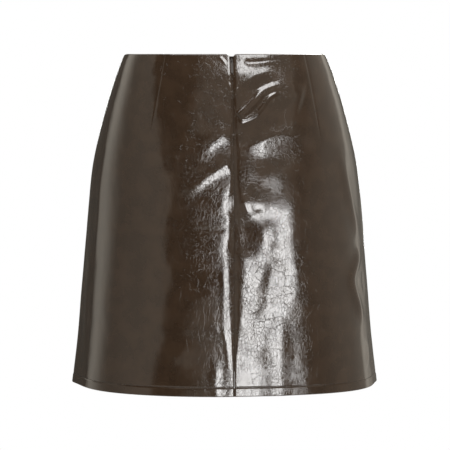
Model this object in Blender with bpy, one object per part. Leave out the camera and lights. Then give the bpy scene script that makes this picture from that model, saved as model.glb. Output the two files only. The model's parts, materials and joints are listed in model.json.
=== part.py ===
"""Short A-line skirt in glossy crinkled leather, filled out as if it were worn.

Metres, +Z up. The origin is the centre of the waist, the back faces -Y and the hem hangs
straight down. A point on the cloth has two coordinates: `across`, its distance round the ring
from the centre back (+X side positive), and `drop`, its distance below the waist edge.
"""

import math
from typing import NamedTuple

import bmesh
import bpy
from mathutils import Matrix, Vector

# ---------------------------------------------------------------- driving dimensions
LENGTH = 0.422                # waist edge to hem edge
WALL = 0.0012                 # backed leather
TURNED_WALL = 0.0021          # two layers, at the turned waist edge and in the hem
WAIST_TURNING = 0.010         # depth of the turned waist edge
HEM_TURNING = 0.012           # depth of the hem
HEM_RISE_LEFT = 0.0052        # the hem edge stands this much higher at the -X side seam
HEM_RISE_RIGHT = 0.0022       # and at the +X one
SEAM_GAP = 0.0003             # clearance between pieces that are sewn together

ZIP_OPENING_HALF = 0.0023     # half the mouth between the two back panels at the waist edge
ZIP_OPENING_DROP = 0.026      # the mouth closes to the seam gap here
CORNER_RADIUS = 0.0045        # the panels' rounded corners at the top of the zip
CORNER_SINK = 0.7             # their depth, as a share of that radius
SEAM_DIP = 0.0024             # how far the centre-back seam sinks below the cloth
SEAM_DIP_WIDTH = 0.0085
SIDE_DIP = 0.0007             # the side seams' shallow groove
SIDE_DIP_WIDTH = 0.0030
DART_DIP = 0.0007             # the stitched line of a dart
DART_FLANK = 0.0016           # half the width of that line

TAPE_THICKNESS = 0.0006
TAPE_TOP = 0.004
TAPE_LENGTH = 0.200
COIL_WIDTH = 0.0015
COIL_DEPTH = 0.0015
TAPE_SPLAY = 0.0011           # the tapes' edges stand this far off the seam beside the slider
TAPE_JOINING = 0.020          # and close to it over this distance below

SLIDER_DROP = 0.0075          # the slider's lug, below the waist edge
SLIDER_WIDTH = 0.0070
SLIDER_HEIGHT = 0.0080
SLIDER_THICKNESS = 0.0020
SLIDER_CORNER = 0.0015
LUG_THICKNESS = 0.0010
LUG_ROD = 0.0008
LUG_HALF = 0.0014             # half the height of the lug's eye
LUG_CHAMFER = 0.0004
LUG_SHOULDER = 0.2            # where the lug's outer corners are cut, as a share of its reach
LUG_RISE = 0.0015             # the pivot, in front of the seam's floor
PULL_LENGTH = 0.0175
PULL_WIDTH = 0.0032
PULL_TIP_WIDTH = 0.0026
PULL_THICKNESS = 0.0008
PULL_EYE = 0.0031             # the window that the lug passes through, from the pivot down
PULL_SHOULDER = 0.0012        # its side bars widen to the full plate over this length
PULL_BAR_INSET = 0.0003       # they stand this far inside the plate's sides
PULL_TAPER = 0.7              # the plate narrows from this share of its length
PULL_TIP_CHAMFER = 0.0010

RING_STEPS = 288              # samples round one ring when its length is measured
SLOPE_STEP = 0.0008           # the surface's direction is read over this distance each way
SMOOTH_STEP = 0.0020          # and the smooth form's over this one
TURNING_STEP = 0.0006         # height of the step where a turned layer ends
BACK_ROWS = 28                # rows of a back panel between its two turnings
BACK_LANES = 10               # its columns from seam to dart, and from dart to side
FRONT_ROWS = 20
FRONT_LANES = 8
SEAM_STEPS = (0.0, 0.0014, 0.0036, 0.0070, 0.0120)   # a back panel's columns by the seam
SIDE_LANE = 0.0030            # the column beside a side seam


class Section(NamedTuple):
    """One level plan section of the skirt."""

    drop: float
    half_width: float
    back_depth: float
    front_depth: float
    squareness: float         # exponent of the superellipse
    side_crease: float        # how far the side seam stands out of it


SECTIONS = (
    Section(0.000, 0.1275, 0.0860, 0.0900, 2.25, 0.0015),
    Section(0.008, 0.1312, 0.0895, 0.0915, 2.26, 0.0017),
    Section(0.028, 0.1389, 0.0985, 0.0950, 2.30, 0.0022),
    Section(0.079, 0.1546, 0.1125, 0.1020, 2.40, 0.0034),
    Section(0.140, 0.1688, 0.1205, 0.1080, 2.48, 0.0048),
    Section(0.200, 0.1752, 0.1235, 0.1115, 2.60, 0.0060),
    Section(0.293, 0.1836, 0.1240, 0.1150, 2.75, 0.0078),
    Section(0.354, 0.1887, 0.1236, 0.1175, 2.85, 0.0090),
    Section(0.422, 0.1965, 0.1240, 0.1200, 2.95, 0.0100),
)


class Fold(NamedTuple):
    """A soft ridge (height above 0) or trough (below 0) along a line on the cloth."""

    height: float
    width: float
    path: tuple               # (across, drop) points, waist side first


BACK_FOLDS = (
    # right of the seam
    Fold(0.0024, 0.0060, ((0.004, 0.078), (0.034, 0.053), (0.062, 0.037), (0.092, 0.048))),
    Fold(-0.0013, 0.0050, ((0.017, 0.012), (0.042, 0.011), (0.068, 0.009))),
    Fold(0.0018, 0.0110, ((0.008, 0.118), (0.042, 0.108), (0.084, 0.112))),
    Fold(0.0032, 0.0240, ((0.052, 0.165), (0.046, 0.280), (0.040, 0.420))),
    Fold(-0.0020, 0.0090, ((0.012, 0.160), (0.030, 0.200))),
    Fold(-0.0018, 0.0090, ((0.050, 0.255), (0.042, 0.300), (0.034, 0.345))),
    Fold(0.0016, 0.0120, ((0.098, 0.160), (0.100, 0.260), (0.096, 0.370))),
    # left of the seam
    Fold(0.0020, 0.0130, ((-0.004, 0.108), (-0.042, 0.122))),
    Fold(0.0024, 0.0090, ((-0.003, 0.138), (-0.024, 0.152), (-0.050, 0.176))),
    Fold(-0.0012, 0.0060, ((-0.010, 0.214), (-0.056, 0.216))),
    Fold(-0.0022, 0.0080, ((-0.015, 0.289), (-0.019, 0.330), (-0.030, 0.420))),
    Fold(0.0026, 0.0200, ((-0.060, 0.180), (-0.066, 0.300), (-0.072, 0.400))),
    Fold(-0.0014, 0.0160, ((-0.118, 0.190), (-0.124, 0.300), (-0.130, 0.410))),
)

SIDE_FOLDS = (
    Fold(0.0016, 0.0090, ((0.226, 0.190), (0.232, 0.230), (0.228, 0.270))),
    Fold(-0.0014, 0.0080, ((0.212, 0.250), (0.222, 0.300), (0.218, 0.350))),
    Fold(0.0014, 0.0110, ((-0.214, 0.180), (-0.222, 0.280), (-0.230, 0.400))),
    Fold(-0.0012, 0.0100, ((-0.238, 0.240), (-0.246, 0.340))),
)

# Front folds, measured from the centre front with +X positive.
FRONT_FOLDS = (
    Fold(0.0020, 0.0110, ((-0.020, 0.098), (-0.060, 0.112), (-0.098, 0.108))),
    Fold(0.0018, 0.0100, ((0.014, 0.124), (0.052, 0.110), (0.090, 0.116))),
    Fold(0.0022, 0.0120, ((0.004, 0.168), (-0.040, 0.158), (-0.076, 0.172))),
    Fold(0.0028, 0.0220, ((-0.050, 0.210), (-0.056, 0.320), (-0.064, 0.420))),
    Fold(-0.0022, 0.0120, ((-0.012, 0.260), (-0.016, 0.340), (-0.022, 0.420))),
    Fold(0.0026, 0.0200, ((0.044, 0.190), (0.050, 0.300), (0.046, 0.400))),
    Fold(-0.0018, 0.0110, ((0.092, 0.230), (0.100, 0.330), (0.104, 0.420))),
)


class Dart(NamedTuple):
    """A dart's stitched line, its ends measured from the centre back or the centre front."""

    top: float
    tip: float
    length: float


BACK_DARTS = {
    -1: Dart(top=0.0840, tip=0.1065, length=0.110),
    1: Dart(top=0.0990, tip=0.1160, length=0.112),
}
FRONT_DARTS = {
    -1: Dart(top=0.0800, tip=0.0930, length=0.085),
    1: Dart(top=0.0800, tip=0.0930, length=0.085),
}


# ---------------------------------------------------------------- the cloth's surface
def smooth_table(rows, at):
    """Read every column of a table at `at` (its first column), along a smooth cubic."""
    last = len(rows) - 2
    i = 0
    while i < last and rows[i + 1][0] < at:
        i += 1
    here, after = rows[i], rows[i + 1]
    before = rows[i - 1] if i > 0 else here
    beyond = rows[i + 2] if i < last else after
    span = after[0] - here[0]
    t = (at - here[0]) / span
    values = []
    for column in range(1, len(here)):
        leave = (after[column] - before[column]) / (after[0] - before[0])
        arrive = (beyond[column] - here[column]) / (beyond[0] - here[0])
        values.append(
            (2 * t**3 - 3 * t**2 + 1) * here[column]
            + (t**3 - 2 * t**2 + t) * span * leave
            + (3 * t**2 - 2 * t**3) * after[column]
            + (t**3 - t**2) * span * arrive
        )
    return values


class Ring:
    """The plan curve at one drop, measured along the cloth from the centre back."""

    CREASE_ANGLE = 0.15       # how far round the side seam's ridge reaches, in radians

    def __init__(self, drop):
        self.drop = drop
        table = smooth_table(SECTIONS, drop)
        self.half_width, self.back_depth, self.front_depth, self.squareness, self.crease = table
        self.points = []
        self.reach = [0.0]
        for step in range(RING_STEPS // 2 + 1):
            turn = 2 * math.pi * step / RING_STEPS
            self.points.append(self.plan(turn))
            if step > 0:
                self.reach.append(self.reach[-1] + math.dist(self.points[-1], self.points[-2]))
        self.side = self.reach[RING_STEPS // 4]
        self.half_girth = self.reach[-1]

    def plan(self, turn):
        """Return (x, y) at `turn` radians from the centre back, towards +X."""
        depth = self.back_depth if math.cos(turn) > 0 else self.front_depth
        sine = abs(math.sin(turn)) / (self.half_width - self.crease)
        cosine = abs(math.cos(turn)) / depth
        radius = (sine**self.squareness + cosine**self.squareness) ** (-1 / self.squareness)
        off_side = abs(turn - math.pi / 2)
        radius += self.crease * math.exp(-((off_side / self.CREASE_ANGLE) ** 1.5))
        return radius * math.sin(turn), -radius * math.cos(turn)

    def point(self, across):
        """Return the smooth surface point `across` metres round from the centre back."""
        side = -1 if across < 0 else 1
        distance = min(abs(across), self.half_girth)
        low, high = 0, len(self.reach) - 1
        while high - low > 1:
            middle = (low + high) // 2
            if self.reach[middle] > distance:
                high = middle
            else:
                low = middle
        share = (distance - self.reach[low]) / (self.reach[high] - self.reach[low])
        x = self.points[low][0] + share * (self.points[high][0] - self.points[low][0])
        y = self.points[low][1] + share * (self.points[high][1] - self.points[low][1])
        if abs(across) > self.half_girth:
            side = -side
        return Vector((side * x, y, -self.drop))


RINGS = {}


def ring_at(drop):
    """Return the ring at one drop, made once for each."""
    key = round(drop, 6)
    if key not in RINGS:
        RINGS[key] = Ring(min(max(key, 0.0), LENGTH))
    return RINGS[key]


def fold_lift(fold, across, drop):
    """Return how far one fold lifts the cloth, fading out at its two ends."""
    ends = len(fold.path) - 1
    best = None
    for i in range(ends):
        (a0, d0), (a1, d1) = fold.path[i], fold.path[i + 1]
        run_a, run_d = a1 - a0, d1 - d0
        share = ((across - a0) * run_a + (drop - d0) * run_d) / (run_a**2 + run_d**2)
        held = min(max(share, 0.0), 1.0)
        away = math.hypot(across - a0 - held * run_a, drop - d0 - held * run_d)
        if best is None or away < best[0]:
            best = (away, (i + held) / ends)
    away, along = best
    body = 0.35 + 0.65 * math.sin(math.pi * min(max(along, 0.0), 1.0)) ** 0.7
    return fold.height * body * math.exp(-((away / fold.width) ** 2))


def dart_line(dart, drop):
    """Return a dart line's distance from the centre at one drop."""
    return dart.top + (dart.tip - dart.top) * min(drop / dart.length, 1.0)


def dart_lift(darts, off_centre, drop):
    """Return the groove of a dart's stitching, which fades out at its tip."""
    dart = darts[-1 if off_centre < 0 else 1]
    if drop > dart.length:
        return 0.0
    away = abs(abs(off_centre) - dart_line(dart, drop))
    fade = min(1.0, 3.0 * (1.0 - drop / dart.length))
    return -DART_DIP * fade * math.exp(-((away / DART_FLANK) ** 2))


def lift(across, drop):
    """Return the height of the cloth above its smooth surface."""
    ring = ring_at(drop)
    total = -SEAM_DIP * math.exp(-((abs(across) / SEAM_DIP_WIDTH) ** 1.4))
    off_side = abs(abs(across) - ring.side)
    total -= SIDE_DIP * math.exp(-((off_side / SIDE_DIP_WIDTH) ** 2))
    total += dart_lift(BACK_DARTS, across, drop)
    off_front = math.copysign(ring.half_girth - abs(across), across)
    total += dart_lift(FRONT_DARTS, off_front, drop)
    for fold in BACK_FOLDS + SIDE_FOLDS:
        total += fold_lift(fold, across, drop)
    for fold in FRONT_FOLDS:
        total += fold_lift(fold, off_front, drop)
    return total


def smooth_normal(across, drop):
    """Return the outward direction of the smooth surface."""
    low, high = max(drop - SMOOTH_STEP, 0.0), min(drop + SMOOTH_STEP, LENGTH)
    ring = ring_at(drop)
    round_it = ring.point(across + SMOOTH_STEP) - ring.point(across - SMOOTH_STEP)
    down_it = ring_at(high).point(across) - ring_at(low).point(across)
    return round_it.cross(-down_it).normalized()


def outer_point(across, drop):
    """Return the point of the cloth's outer face, with its folds."""
    return ring_at(drop).point(across) + smooth_normal(across, drop) * lift(across, drop)


def cloth_frame(across, drop):
    """Return the folded outer point and the outward direction there."""
    low, high = max(drop - SLOPE_STEP, 0.0), min(drop + SLOPE_STEP, LENGTH)
    round_it = outer_point(across + SLOPE_STEP, drop) - outer_point(across - SLOPE_STEP, drop)
    down_it = outer_point(across, high) - outer_point(across, low)
    return outer_point(across, drop), round_it.cross(-down_it).normalized()


# ---------------------------------------------------------------- mesh helpers
def clear_scene():
    """Remove what a new file starts with."""
    for thing in list(bpy.data.objects):
        bpy.data.objects.remove(thing, do_unlink=True)


def material(name, colour, roughness, metallic):
    """Return a Principled material."""
    made = bpy.data.materials.new(name)
    made.use_nodes = True
    shader = made.node_tree.nodes["Principled BSDF"]
    shader.inputs["Base Color"].default_value = (*colour, 1.0)
    shader.inputs["Roughness"].default_value = roughness
    shader.inputs["Metallic"].default_value = metallic
    return made


def closed_loft(name, loops, finish):
    """Make one closed body from equal closed loops of points, and cap its two ends."""
    mesh = bmesh.new()
    rows = [[mesh.verts.new(point) for point in loop] for loop in loops]
    count = len(rows[0])
    for upper, lower in zip(rows, rows[1:]):
        for i in range(count):
            j = (i + 1) % count
            mesh.faces.new((upper[i], upper[j], lower[j], lower[i]))
    mesh.faces.new(rows[0])
    mesh.faces.new(list(reversed(rows[-1])))
    return finished(name, mesh, finish)


def finished(name, mesh, finish):
    """Turn a bmesh into a named object with its faces pointing out."""
    bmesh.ops.recalc_face_normals(mesh, faces=mesh.faces)
    if mesh.calc_volume(signed=True) < 0:
        bmesh.ops.reverse_faces(mesh, faces=mesh.faces)
    data = bpy.data.meshes.new(name)
    mesh.to_mesh(data)
    mesh.free()
    data.materials.append(finish)
    data.shade_smooth()
    data.set_sharp_from_angle(angle=math.radians(40))
    made = bpy.data.objects.new(name, data)
    bpy.context.scene.collection.objects.link(made)
    return made


def wall(name, outer, inner, finish):
    """Make a cloth wall from its outer and inner points, given as rows from the waist down."""
    mesh = bmesh.new()
    faces = ([], [])
    for side, grid in enumerate((outer, inner)):
        for row in grid:
            faces[side].append([mesh.verts.new(point) for point in row])
    out, back = faces
    last_row, last_column = len(out) - 1, len(out[0]) - 1
    for i in range(last_row):
        for j in range(last_column):
            mesh.faces.new((out[i][j], out[i + 1][j], out[i + 1][j + 1], out[i][j + 1]))
            mesh.faces.new((back[i][j], back[i][j + 1], back[i + 1][j + 1], back[i + 1][j]))
        for j in (0, last_column):
            mesh.faces.new((out[i][j], back[i][j], back[i + 1][j], out[i + 1][j]))
    for j in range(last_column):
        for i in (0, last_row):
            mesh.faces.new((out[i][j], out[i][j + 1], back[i][j + 1], back[i][j]))
    return finished(name, mesh, finish)


# ---------------------------------------------------------------- the panels
def spread(start, end, count):
    """Return `count` values after `start`, evenly spread up to and including `end`."""
    return [start + (end - start) * (i + 1) / count for i in range(count)]


def panel_rows(count):
    """Return the drops of a panel's rows, with the steps of its two turnings."""
    hem_top = LENGTH - HEM_TURNING
    rows = [0.0, TAPE_TOP, WAIST_TURNING - TURNING_STEP, WAIST_TURNING]
    rows += spread(WAIST_TURNING, hem_top, count)
    rows += [hem_top + TURNING_STEP, hem_top + HEM_TURNING / 2, LENGTH]
    return rows


def thickness(drop):
    """Return the wall at one drop: doubled where the leather is turned under."""
    in_waist = drop < WAIST_TURNING - 1e-6
    in_hem = drop > LENGTH - HEM_TURNING + 1e-6
    return TURNED_WALL if in_waist or in_hem else WALL


def zip_edge(drop):
    """Return a back panel's distance from the seam line, wider at the zip's mouth."""
    open_share = max(0.0, 1.0 - drop / ZIP_OPENING_DROP)
    return SEAM_GAP / 2 + ZIP_OPENING_HALF * open_share


def back_columns(drop, side):
    """Return the `across` values of a back panel's columns at one drop."""
    first = zip_edge(drop)
    dart = dart_line(BACK_DARTS[side], drop)
    last = ring_at(drop).side - SEAM_GAP / 2
    columns = [first + step for step in SEAM_STEPS]
    columns += spread(columns[-1], dart - DART_FLANK, BACK_LANES)
    columns += [dart, dart + DART_FLANK]
    columns += spread(dart + DART_FLANK, last - SIDE_LANE, BACK_LANES)
    columns += [last]
    return [side * across for across in columns]


def front_columns(drop):
    """Return the `across` values of the front panel's columns, round past the centre front."""
    ring = ring_at(drop)
    first = ring.side + SEAM_GAP / 2
    dart = ring.half_girth - dart_line(FRONT_DARTS[1], drop)
    half = [first, first + SIDE_LANE]
    half += spread(half[-1], dart - DART_FLANK, FRONT_LANES)
    half += [dart, dart + DART_FLANK]
    half += spread(dart + DART_FLANK, ring.half_girth, FRONT_LANES)
    other = [2 * ring.half_girth - across for across in reversed(half[:-1])]
    return half + other


def wrapped(across, drop):
    """Return `across` measured the short way round from the centre back."""
    girth = 2 * ring_at(drop).half_girth
    return across - girth if across > girth / 2 + 1e-9 else across


def hem_rise(across, drop):
    """Return how far the cloth at one point is raised by the hem's curve at the sides."""
    to_side = math.sin(math.pi / 2 * across / ring_at(drop).side)
    rise = HEM_RISE_LEFT if across < 0 else HEM_RISE_RIGHT
    return rise * (drop / LENGTH) ** 2 * to_side**2


def corner_drop(off_seam, drop):
    """Return how far the waist edge dips where a back panel's corner is rounded."""
    if drop > WAIST_TURNING:
        return 0.0
    near = max(0.0, 1.0 - off_seam / CORNER_RADIUS)
    fade = 1.0 - drop / WAIST_TURNING
    return CORNER_SINK * CORNER_RADIUS * (1.0 - math.sqrt(1.0 - near**2)) * fade


def panel(name, columns_at, row_count, finish, rounded_corner=False):
    """Make one panel of the skirt as a cloth wall."""
    outer, inner = [], []
    for drop in panel_rows(row_count):
        outer_row, inner_row = [], []
        for across in columns_at(drop):
            across = wrapped(across, drop)
            level = drop - hem_rise(across, drop)
            if rounded_corner:
                level += corner_drop(abs(across) - zip_edge(drop), drop)
            point, outward = cloth_frame(across, level)
            outer_row.append(point)
            inward = outward.copy()
            if drop in (0.0, LENGTH):
                inward.z = 0.0
                inward.normalize()
            inner_row.append(point - inward * thickness(drop))
        outer.append(outer_row)
        inner.append(inner_row)
    return wall(name, outer, inner, finish)


# ---------------------------------------------------------------- the concealed zip
def tape_edge(drop):
    """Return the tape edge's distance from the seam line, splayed beside the slider."""
    splayed_to = SLIDER_DROP + SLIDER_HEIGHT / 2
    share = min(max((drop - splayed_to) / TAPE_JOINING, 0.0), 1.0)
    return TAPE_SPLAY + (2 * SEAM_GAP - TAPE_SPLAY) * share


def tape(name, side, finish):
    """Make one half of the zip: a tape behind its panel, with the coil along its edge."""
    loops = []
    for drop in panel_rows(BACK_ROWS):
        if not TAPE_TOP <= drop <= TAPE_TOP + TAPE_LENGTH:
            continue
        edge = tape_edge(drop)
        coil = edge + COIL_WIDTH
        face = thickness(drop - TURNING_STEP) + SEAM_GAP
        back = face + TAPE_THICKNESS
        lanes = [coil] + [zip_edge(drop) + step for step in SEAM_STEPS[2:]]
        outline = [(edge, face)] + [(lane, face) for lane in lanes]
        outline += [(lane, back) for lane in reversed(lanes)]
        outline += [(coil, face + COIL_DEPTH), (edge, face + COIL_DEPTH)]
        loop = []
        for across, depth in outline:
            point, outward = cloth_frame(side * across, drop)
            flat = Vector((0.0, outward.y, outward.z)).normalized()
            direction = flat if across < coil + 1e-9 else outward
            place = point - direction * depth
            loop.append(place)
        loops.append(loop)
    return closed_loft(name, loops, finish)


def slider_frame():
    """Return the pivot of the pull tab and the directions down and out of the seam there."""
    upper = outer_point(0.0, SLIDER_DROP - SMOOTH_STEP)
    lower = outer_point(0.0, SLIDER_DROP + PULL_LENGTH)
    down = (lower - upper).normalized()
    out = Vector((0.0, down.z, -down.y))
    if out.y > 0:
        out = -out
    pivot = outer_point(0.0, SLIDER_DROP) + out * LUG_RISE
    return pivot, down, out


def placed(pivot, down, out, sideways, along, forward):
    """Return the point at (sideways, along the seam, forward of it) from the pivot."""
    return pivot + Vector((sideways, 0.0, 0.0)) + down * along + out * forward


def slider(finish):
    """Make the slider: a body behind the coils, joined to the looped lug in front of them."""
    pivot, down, out = slider_frame()
    clear = PULL_THICKNESS / 2 + SEAM_GAP
    reach = clear + LUG_ROD
    shoulder = LUG_SHOULDER * reach
    wide = LUG_HALF + LUG_ROD
    chamfered = LUG_HALF - LUG_CHAMFER
    back = LUG_RISE + TURNED_WALL + SEAM_GAP + COIL_DEPTH + SEAM_GAP
    lug = (
        # along the seam, forward of it
        (-wide, -back), (-wide, shoulder), (-LUG_HALF, reach), (LUG_HALF, reach),
        (wide, shoulder), (wide, -back), (LUG_HALF, -back), (LUG_HALF, 0.0),
        (chamfered, clear), (-chamfered, clear), (-LUG_HALF, 0.0), (-LUG_HALF, -back),
    )
    loops = []
    for sideways in (-LUG_THICKNESS / 2, LUG_THICKNESS / 2):
        loops.append([placed(pivot, down, out, sideways, a, f) for a, f in lug])
    lug_body = closed_loft("lug_form", loops, finish)
    half_width, half_height = SLIDER_WIDTH / 2, SLIDER_HEIGHT / 2
    inner_width, inner_height = half_width - SLIDER_CORNER, half_height - SLIDER_CORNER
    outline = (
        # sideways, along the seam
        (-inner_width, -half_height), (inner_width, -half_height),
        (half_width, -inner_height), (half_width, inner_height),
        (inner_width, half_height), (-inner_width, half_height),
        (-half_width, inner_height), (-half_width, -inner_height),
    )
    loops = []
    for forward in (-back + SEAM_GAP, -back - SLIDER_THICKNESS):
        loops.append([placed(pivot, down, out, s, a, forward) for s, a in outline])
    body = closed_loft("zip_slider", loops, finish)
    join = body.modifiers.new("lug", "BOOLEAN")
    join.operation = "UNION"
    join.object = lug_body
    lug_body.hide_render = True
    lug_body.display_type = "WIRE"
    return body


def pull(finish):
    """Make the pull tab: a slim drop-shaped plate whose top bar passes through the lug."""
    pivot, down, out = slider_frame()
    half = PULL_WIDTH / 2
    window = LUG_THICKNESS / 2 + SEAM_GAP
    bar = PULL_THICKNESS / 2
    neck = half - PULL_BAR_INSET
    tip = PULL_TIP_WIDTH / 2
    mesh = bmesh.new()
    rows = (
        # along, half-width there
        (-bar, neck), (bar, neck), (PULL_EYE, neck), (PULL_EYE + PULL_SHOULDER, half),
        (PULL_LENGTH * PULL_TAPER, half), (PULL_LENGTH - PULL_TIP_CHAMFER, tip),
        (PULL_LENGTH, tip / 2),
    )
    grid = {}
    for row, (along, reach) in enumerate(rows):
        for col, sideways in enumerate((-reach, -min(window, reach), min(window, reach), reach)):
            for face, forward in enumerate((-PULL_THICKNESS / 2, PULL_THICKNESS / 2)):
                grid[row, col, face] = mesh.verts.new(Vector((sideways, -along, forward)))
    solid = [(row, col) for row in range(len(rows) - 1) for col in range(3)]
    solid.remove((1, 1))
    for row, col in solid:
        for face in (0, 1):
            corners = ((row, col), (row, col + 1), (row + 1, col + 1), (row + 1, col))
            mesh.faces.new([grid[r, c, face] for r, c in corners])
        borders = (
            ((row - 1, col), (row, col), (row, col + 1)),
            ((row + 1, col), (row + 1, col), (row + 1, col + 1)),
            ((row, col - 1), (row, col), (row + 1, col)),
            ((row, col + 1), (row, col + 1), (row + 1, col + 1)),
        )
        for neighbour, start, end in borders:
            if neighbour not in solid:
                quad = [grid[*start, 0], grid[*end, 0], grid[*end, 1], grid[*start, 1]]
                mesh.faces.new(quad)
    made = finished("zip_pull", mesh, finish)
    made.matrix_world = Matrix((
        (1.0, 0.0, 0.0, pivot.x),
        (0.0, -down.y, out.y, pivot.y),
        (0.0, -down.z, out.z, pivot.z),
        (0.0, 0.0, 0.0, 1.0),
    ))
    return made


# ---------------------------------------------------------------- the skirt
def main():
    """Build every piece of the skirt."""
    clear_scene()
    leather = material("patent_leather", (0.035, 0.023, 0.016), 0.2, 0.0)
    ribbon = material("zip_tape", (0.012, 0.009, 0.008), 0.8, 0.0)
    metal = material("zip_metal", (0.06, 0.05, 0.045), 0.35, 0.6)

    panel("back_left", lambda drop: back_columns(drop, -1), BACK_ROWS, leather, True)
    panel("back_right", lambda drop: back_columns(drop, 1), BACK_ROWS, leather, True)
    panel("front", front_columns, FRONT_ROWS, leather)
    tape("zip_tape_left", -1, ribbon)
    tape("zip_tape_right", 1, ribbon)
    slider(metal)
    pull(metal)


main()
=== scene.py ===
"""The looks of a short A-line skirt in glossy crinkled leather, filled out as if it were worn.

Metres, +Z up, the back faces -Y. A point on the cloth has two coordinates: `across`, its
distance round the ring from the centre back with the +X side positive, and `drop`, its
distance below the waist edge. Fold tables are in millimetres, as a maker marks cloth.
"""

import json
import logging
import math
from dataclasses import dataclass
from enum import Enum
from typing import Callable

import bpy
import numpy as np
from mathutils import Matrix, Vector


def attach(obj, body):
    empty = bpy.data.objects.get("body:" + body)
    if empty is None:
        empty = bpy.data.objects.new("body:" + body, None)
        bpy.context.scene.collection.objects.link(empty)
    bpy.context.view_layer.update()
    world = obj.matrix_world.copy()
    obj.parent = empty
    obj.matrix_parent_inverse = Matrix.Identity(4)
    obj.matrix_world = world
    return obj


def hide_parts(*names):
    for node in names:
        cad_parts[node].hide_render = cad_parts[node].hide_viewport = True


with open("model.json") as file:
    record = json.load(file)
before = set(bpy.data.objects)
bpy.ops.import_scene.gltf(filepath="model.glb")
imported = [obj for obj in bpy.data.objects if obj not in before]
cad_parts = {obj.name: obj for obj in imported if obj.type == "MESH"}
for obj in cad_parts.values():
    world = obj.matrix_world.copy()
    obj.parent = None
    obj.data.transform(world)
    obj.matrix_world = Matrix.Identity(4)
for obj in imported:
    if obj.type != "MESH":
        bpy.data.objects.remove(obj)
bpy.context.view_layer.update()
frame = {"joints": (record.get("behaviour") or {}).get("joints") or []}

Array = np.ndarray
Colour = tuple[float, float, float]
Material = bpy.types.Material
Piece = bpy.types.Object
Point = tuple[float, float]
Size = tuple[float, float, float]
Socket = bpy.types.NodeSocket
MM = 0.001
LOG = logging.getLogger("skirt")


# ---------------------------------------------------------------- the cut
@dataclass(frozen=True)
class Cut:
    """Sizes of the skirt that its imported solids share, in metres."""

    length: float = 0.422
    wall: float = 0.0012
    turned_wall: float = 0.0021
    waist_turning: float = 0.010
    hem_turning: float = 0.012
    hem_stitch: float = 0.0116
    hem_rise_left: float = 0.0052
    hem_rise_right: float = 0.0022
    seam_gap: float = 0.0003
    seam_line: float = 0.00008
    sewn_roll: float = 0.00008
    turned_roll: float = 0.46
    stitch_pitch: float = 0.0033
    zip_opening_half: float = 0.0023
    zip_opening_drop: float = 0.026
    corner_radius: float = 0.0045
    corner_sink: float = 0.7
    front_dip: float = 0.0030
    front_dip_half: float = 0.138
    front_dip_fade: float = 0.030
    ring_samples: int = 1440
    drop_step: float = 0.001
    across_step: float = 0.0005

    def zip_edge(self, drop: Array) -> Array:
        """Return a back panel's distance from the seam line, wider at the zip's mouth."""
        open_share = np.clip(1.0 - drop / self.zip_opening_drop, 0.0, 1.0)
        return self.seam_line / 2 + self.zip_opening_half * open_share

    def thickness(self, drop: Array) -> Array:
        """Return the wall at each drop: doubled where the leather is turned under.

        Args:
            drop: distances below the waist edge.

        Returns:
            The wall's thicknesses.
        """
        in_waist = 1.0 - smooth_step(drop, self.waist_turning - MM, self.waist_turning)
        hem_top = self.length - self.hem_turning
        in_hem = smooth_step(drop, hem_top, hem_top + MM)
        return self.wall + (self.turned_wall - self.wall) * np.maximum(in_waist, in_hem)


@dataclass(frozen=True)
class Section:
    """One level plan section of the skirt, in metres."""

    drop: float
    half_width: float
    back_depth: float
    front_depth: float
    squareness: float
    side_crease: float


SECTIONS = (
    Section(0.000, 0.1275, 0.0860, 0.0900, 2.25, 0.0015),
    Section(0.008, 0.1312, 0.0895, 0.0915, 2.26, 0.0017),
    Section(0.028, 0.1389, 0.0985, 0.0950, 2.30, 0.0022),
    Section(0.079, 0.1546, 0.1125, 0.1020, 2.40, 0.0034),
    Section(0.140, 0.1688, 0.1205, 0.1080, 2.48, 0.0048),
    Section(0.200, 0.1752, 0.1235, 0.1115, 2.60, 0.0060),
    Section(0.293, 0.1836, 0.1240, 0.1150, 2.75, 0.0078),
    Section(0.354, 0.1887, 0.1236, 0.1175, 2.85, 0.0090),
    Section(0.422, 0.1965, 0.1240, 0.1200, 2.95, 0.0100),
)


@dataclass(frozen=True)
class Dart:
    """A dart's stitched line, its ends measured from the centre back or the centre front."""

    top: float
    tip: float
    length: float
    groove: float = 0.0005
    flank: float = 0.0010
    welt_share: float = 0.15
    welt_place: float = 3.0
    welt_width: float = 2.2
    fade_share: float = 1 / 3

    def line(self, drop: Array) -> Array:
        """Return the line's distance from the centre at each drop."""
        return self.top + (self.tip - self.top) * np.minimum(drop / self.length, 1.0)

    def lift(self, off_line: Array, drop: Array) -> Array:
        """Return the groove of the stitching and the soft welt beside it.

        Args:
            off_line: distance from the dart's line, away from the centre positive.
            drop: distance below the waist edge.

        Returns:
            The height above the smooth cloth.
        """
        fade = np.clip((1.0 - drop / self.length) / self.fade_share, 0.0, 1.0)
        off_welt = (off_line + self.welt_place * self.flank) / (self.welt_width * self.flank)
        groove = np.exp(-((off_line / self.flank) ** 2))
        return fade * self.groove * (self.welt_share * np.exp(-(off_welt**2)) - groove)


BACK_DARTS = {-1: Dart(0.0840, 0.1065, 0.110, 0.0002), 1: Dart(0.0990, 0.1160, 0.112)}
FRONT_DART = Dart(0.0800, 0.0930, 0.085)


class Profile(Enum):
    """How a fold's section runs from its line to the flat cloth."""

    SOFT = "soft"
    BROAD = "broad"

    def shape(self, ratio: Array) -> Array:
        """Return the height, 1 on the line, at each distance over half-width."""
        return np.exp(-(ratio ** (2 if self is Profile.SOFT else 4)))


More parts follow.
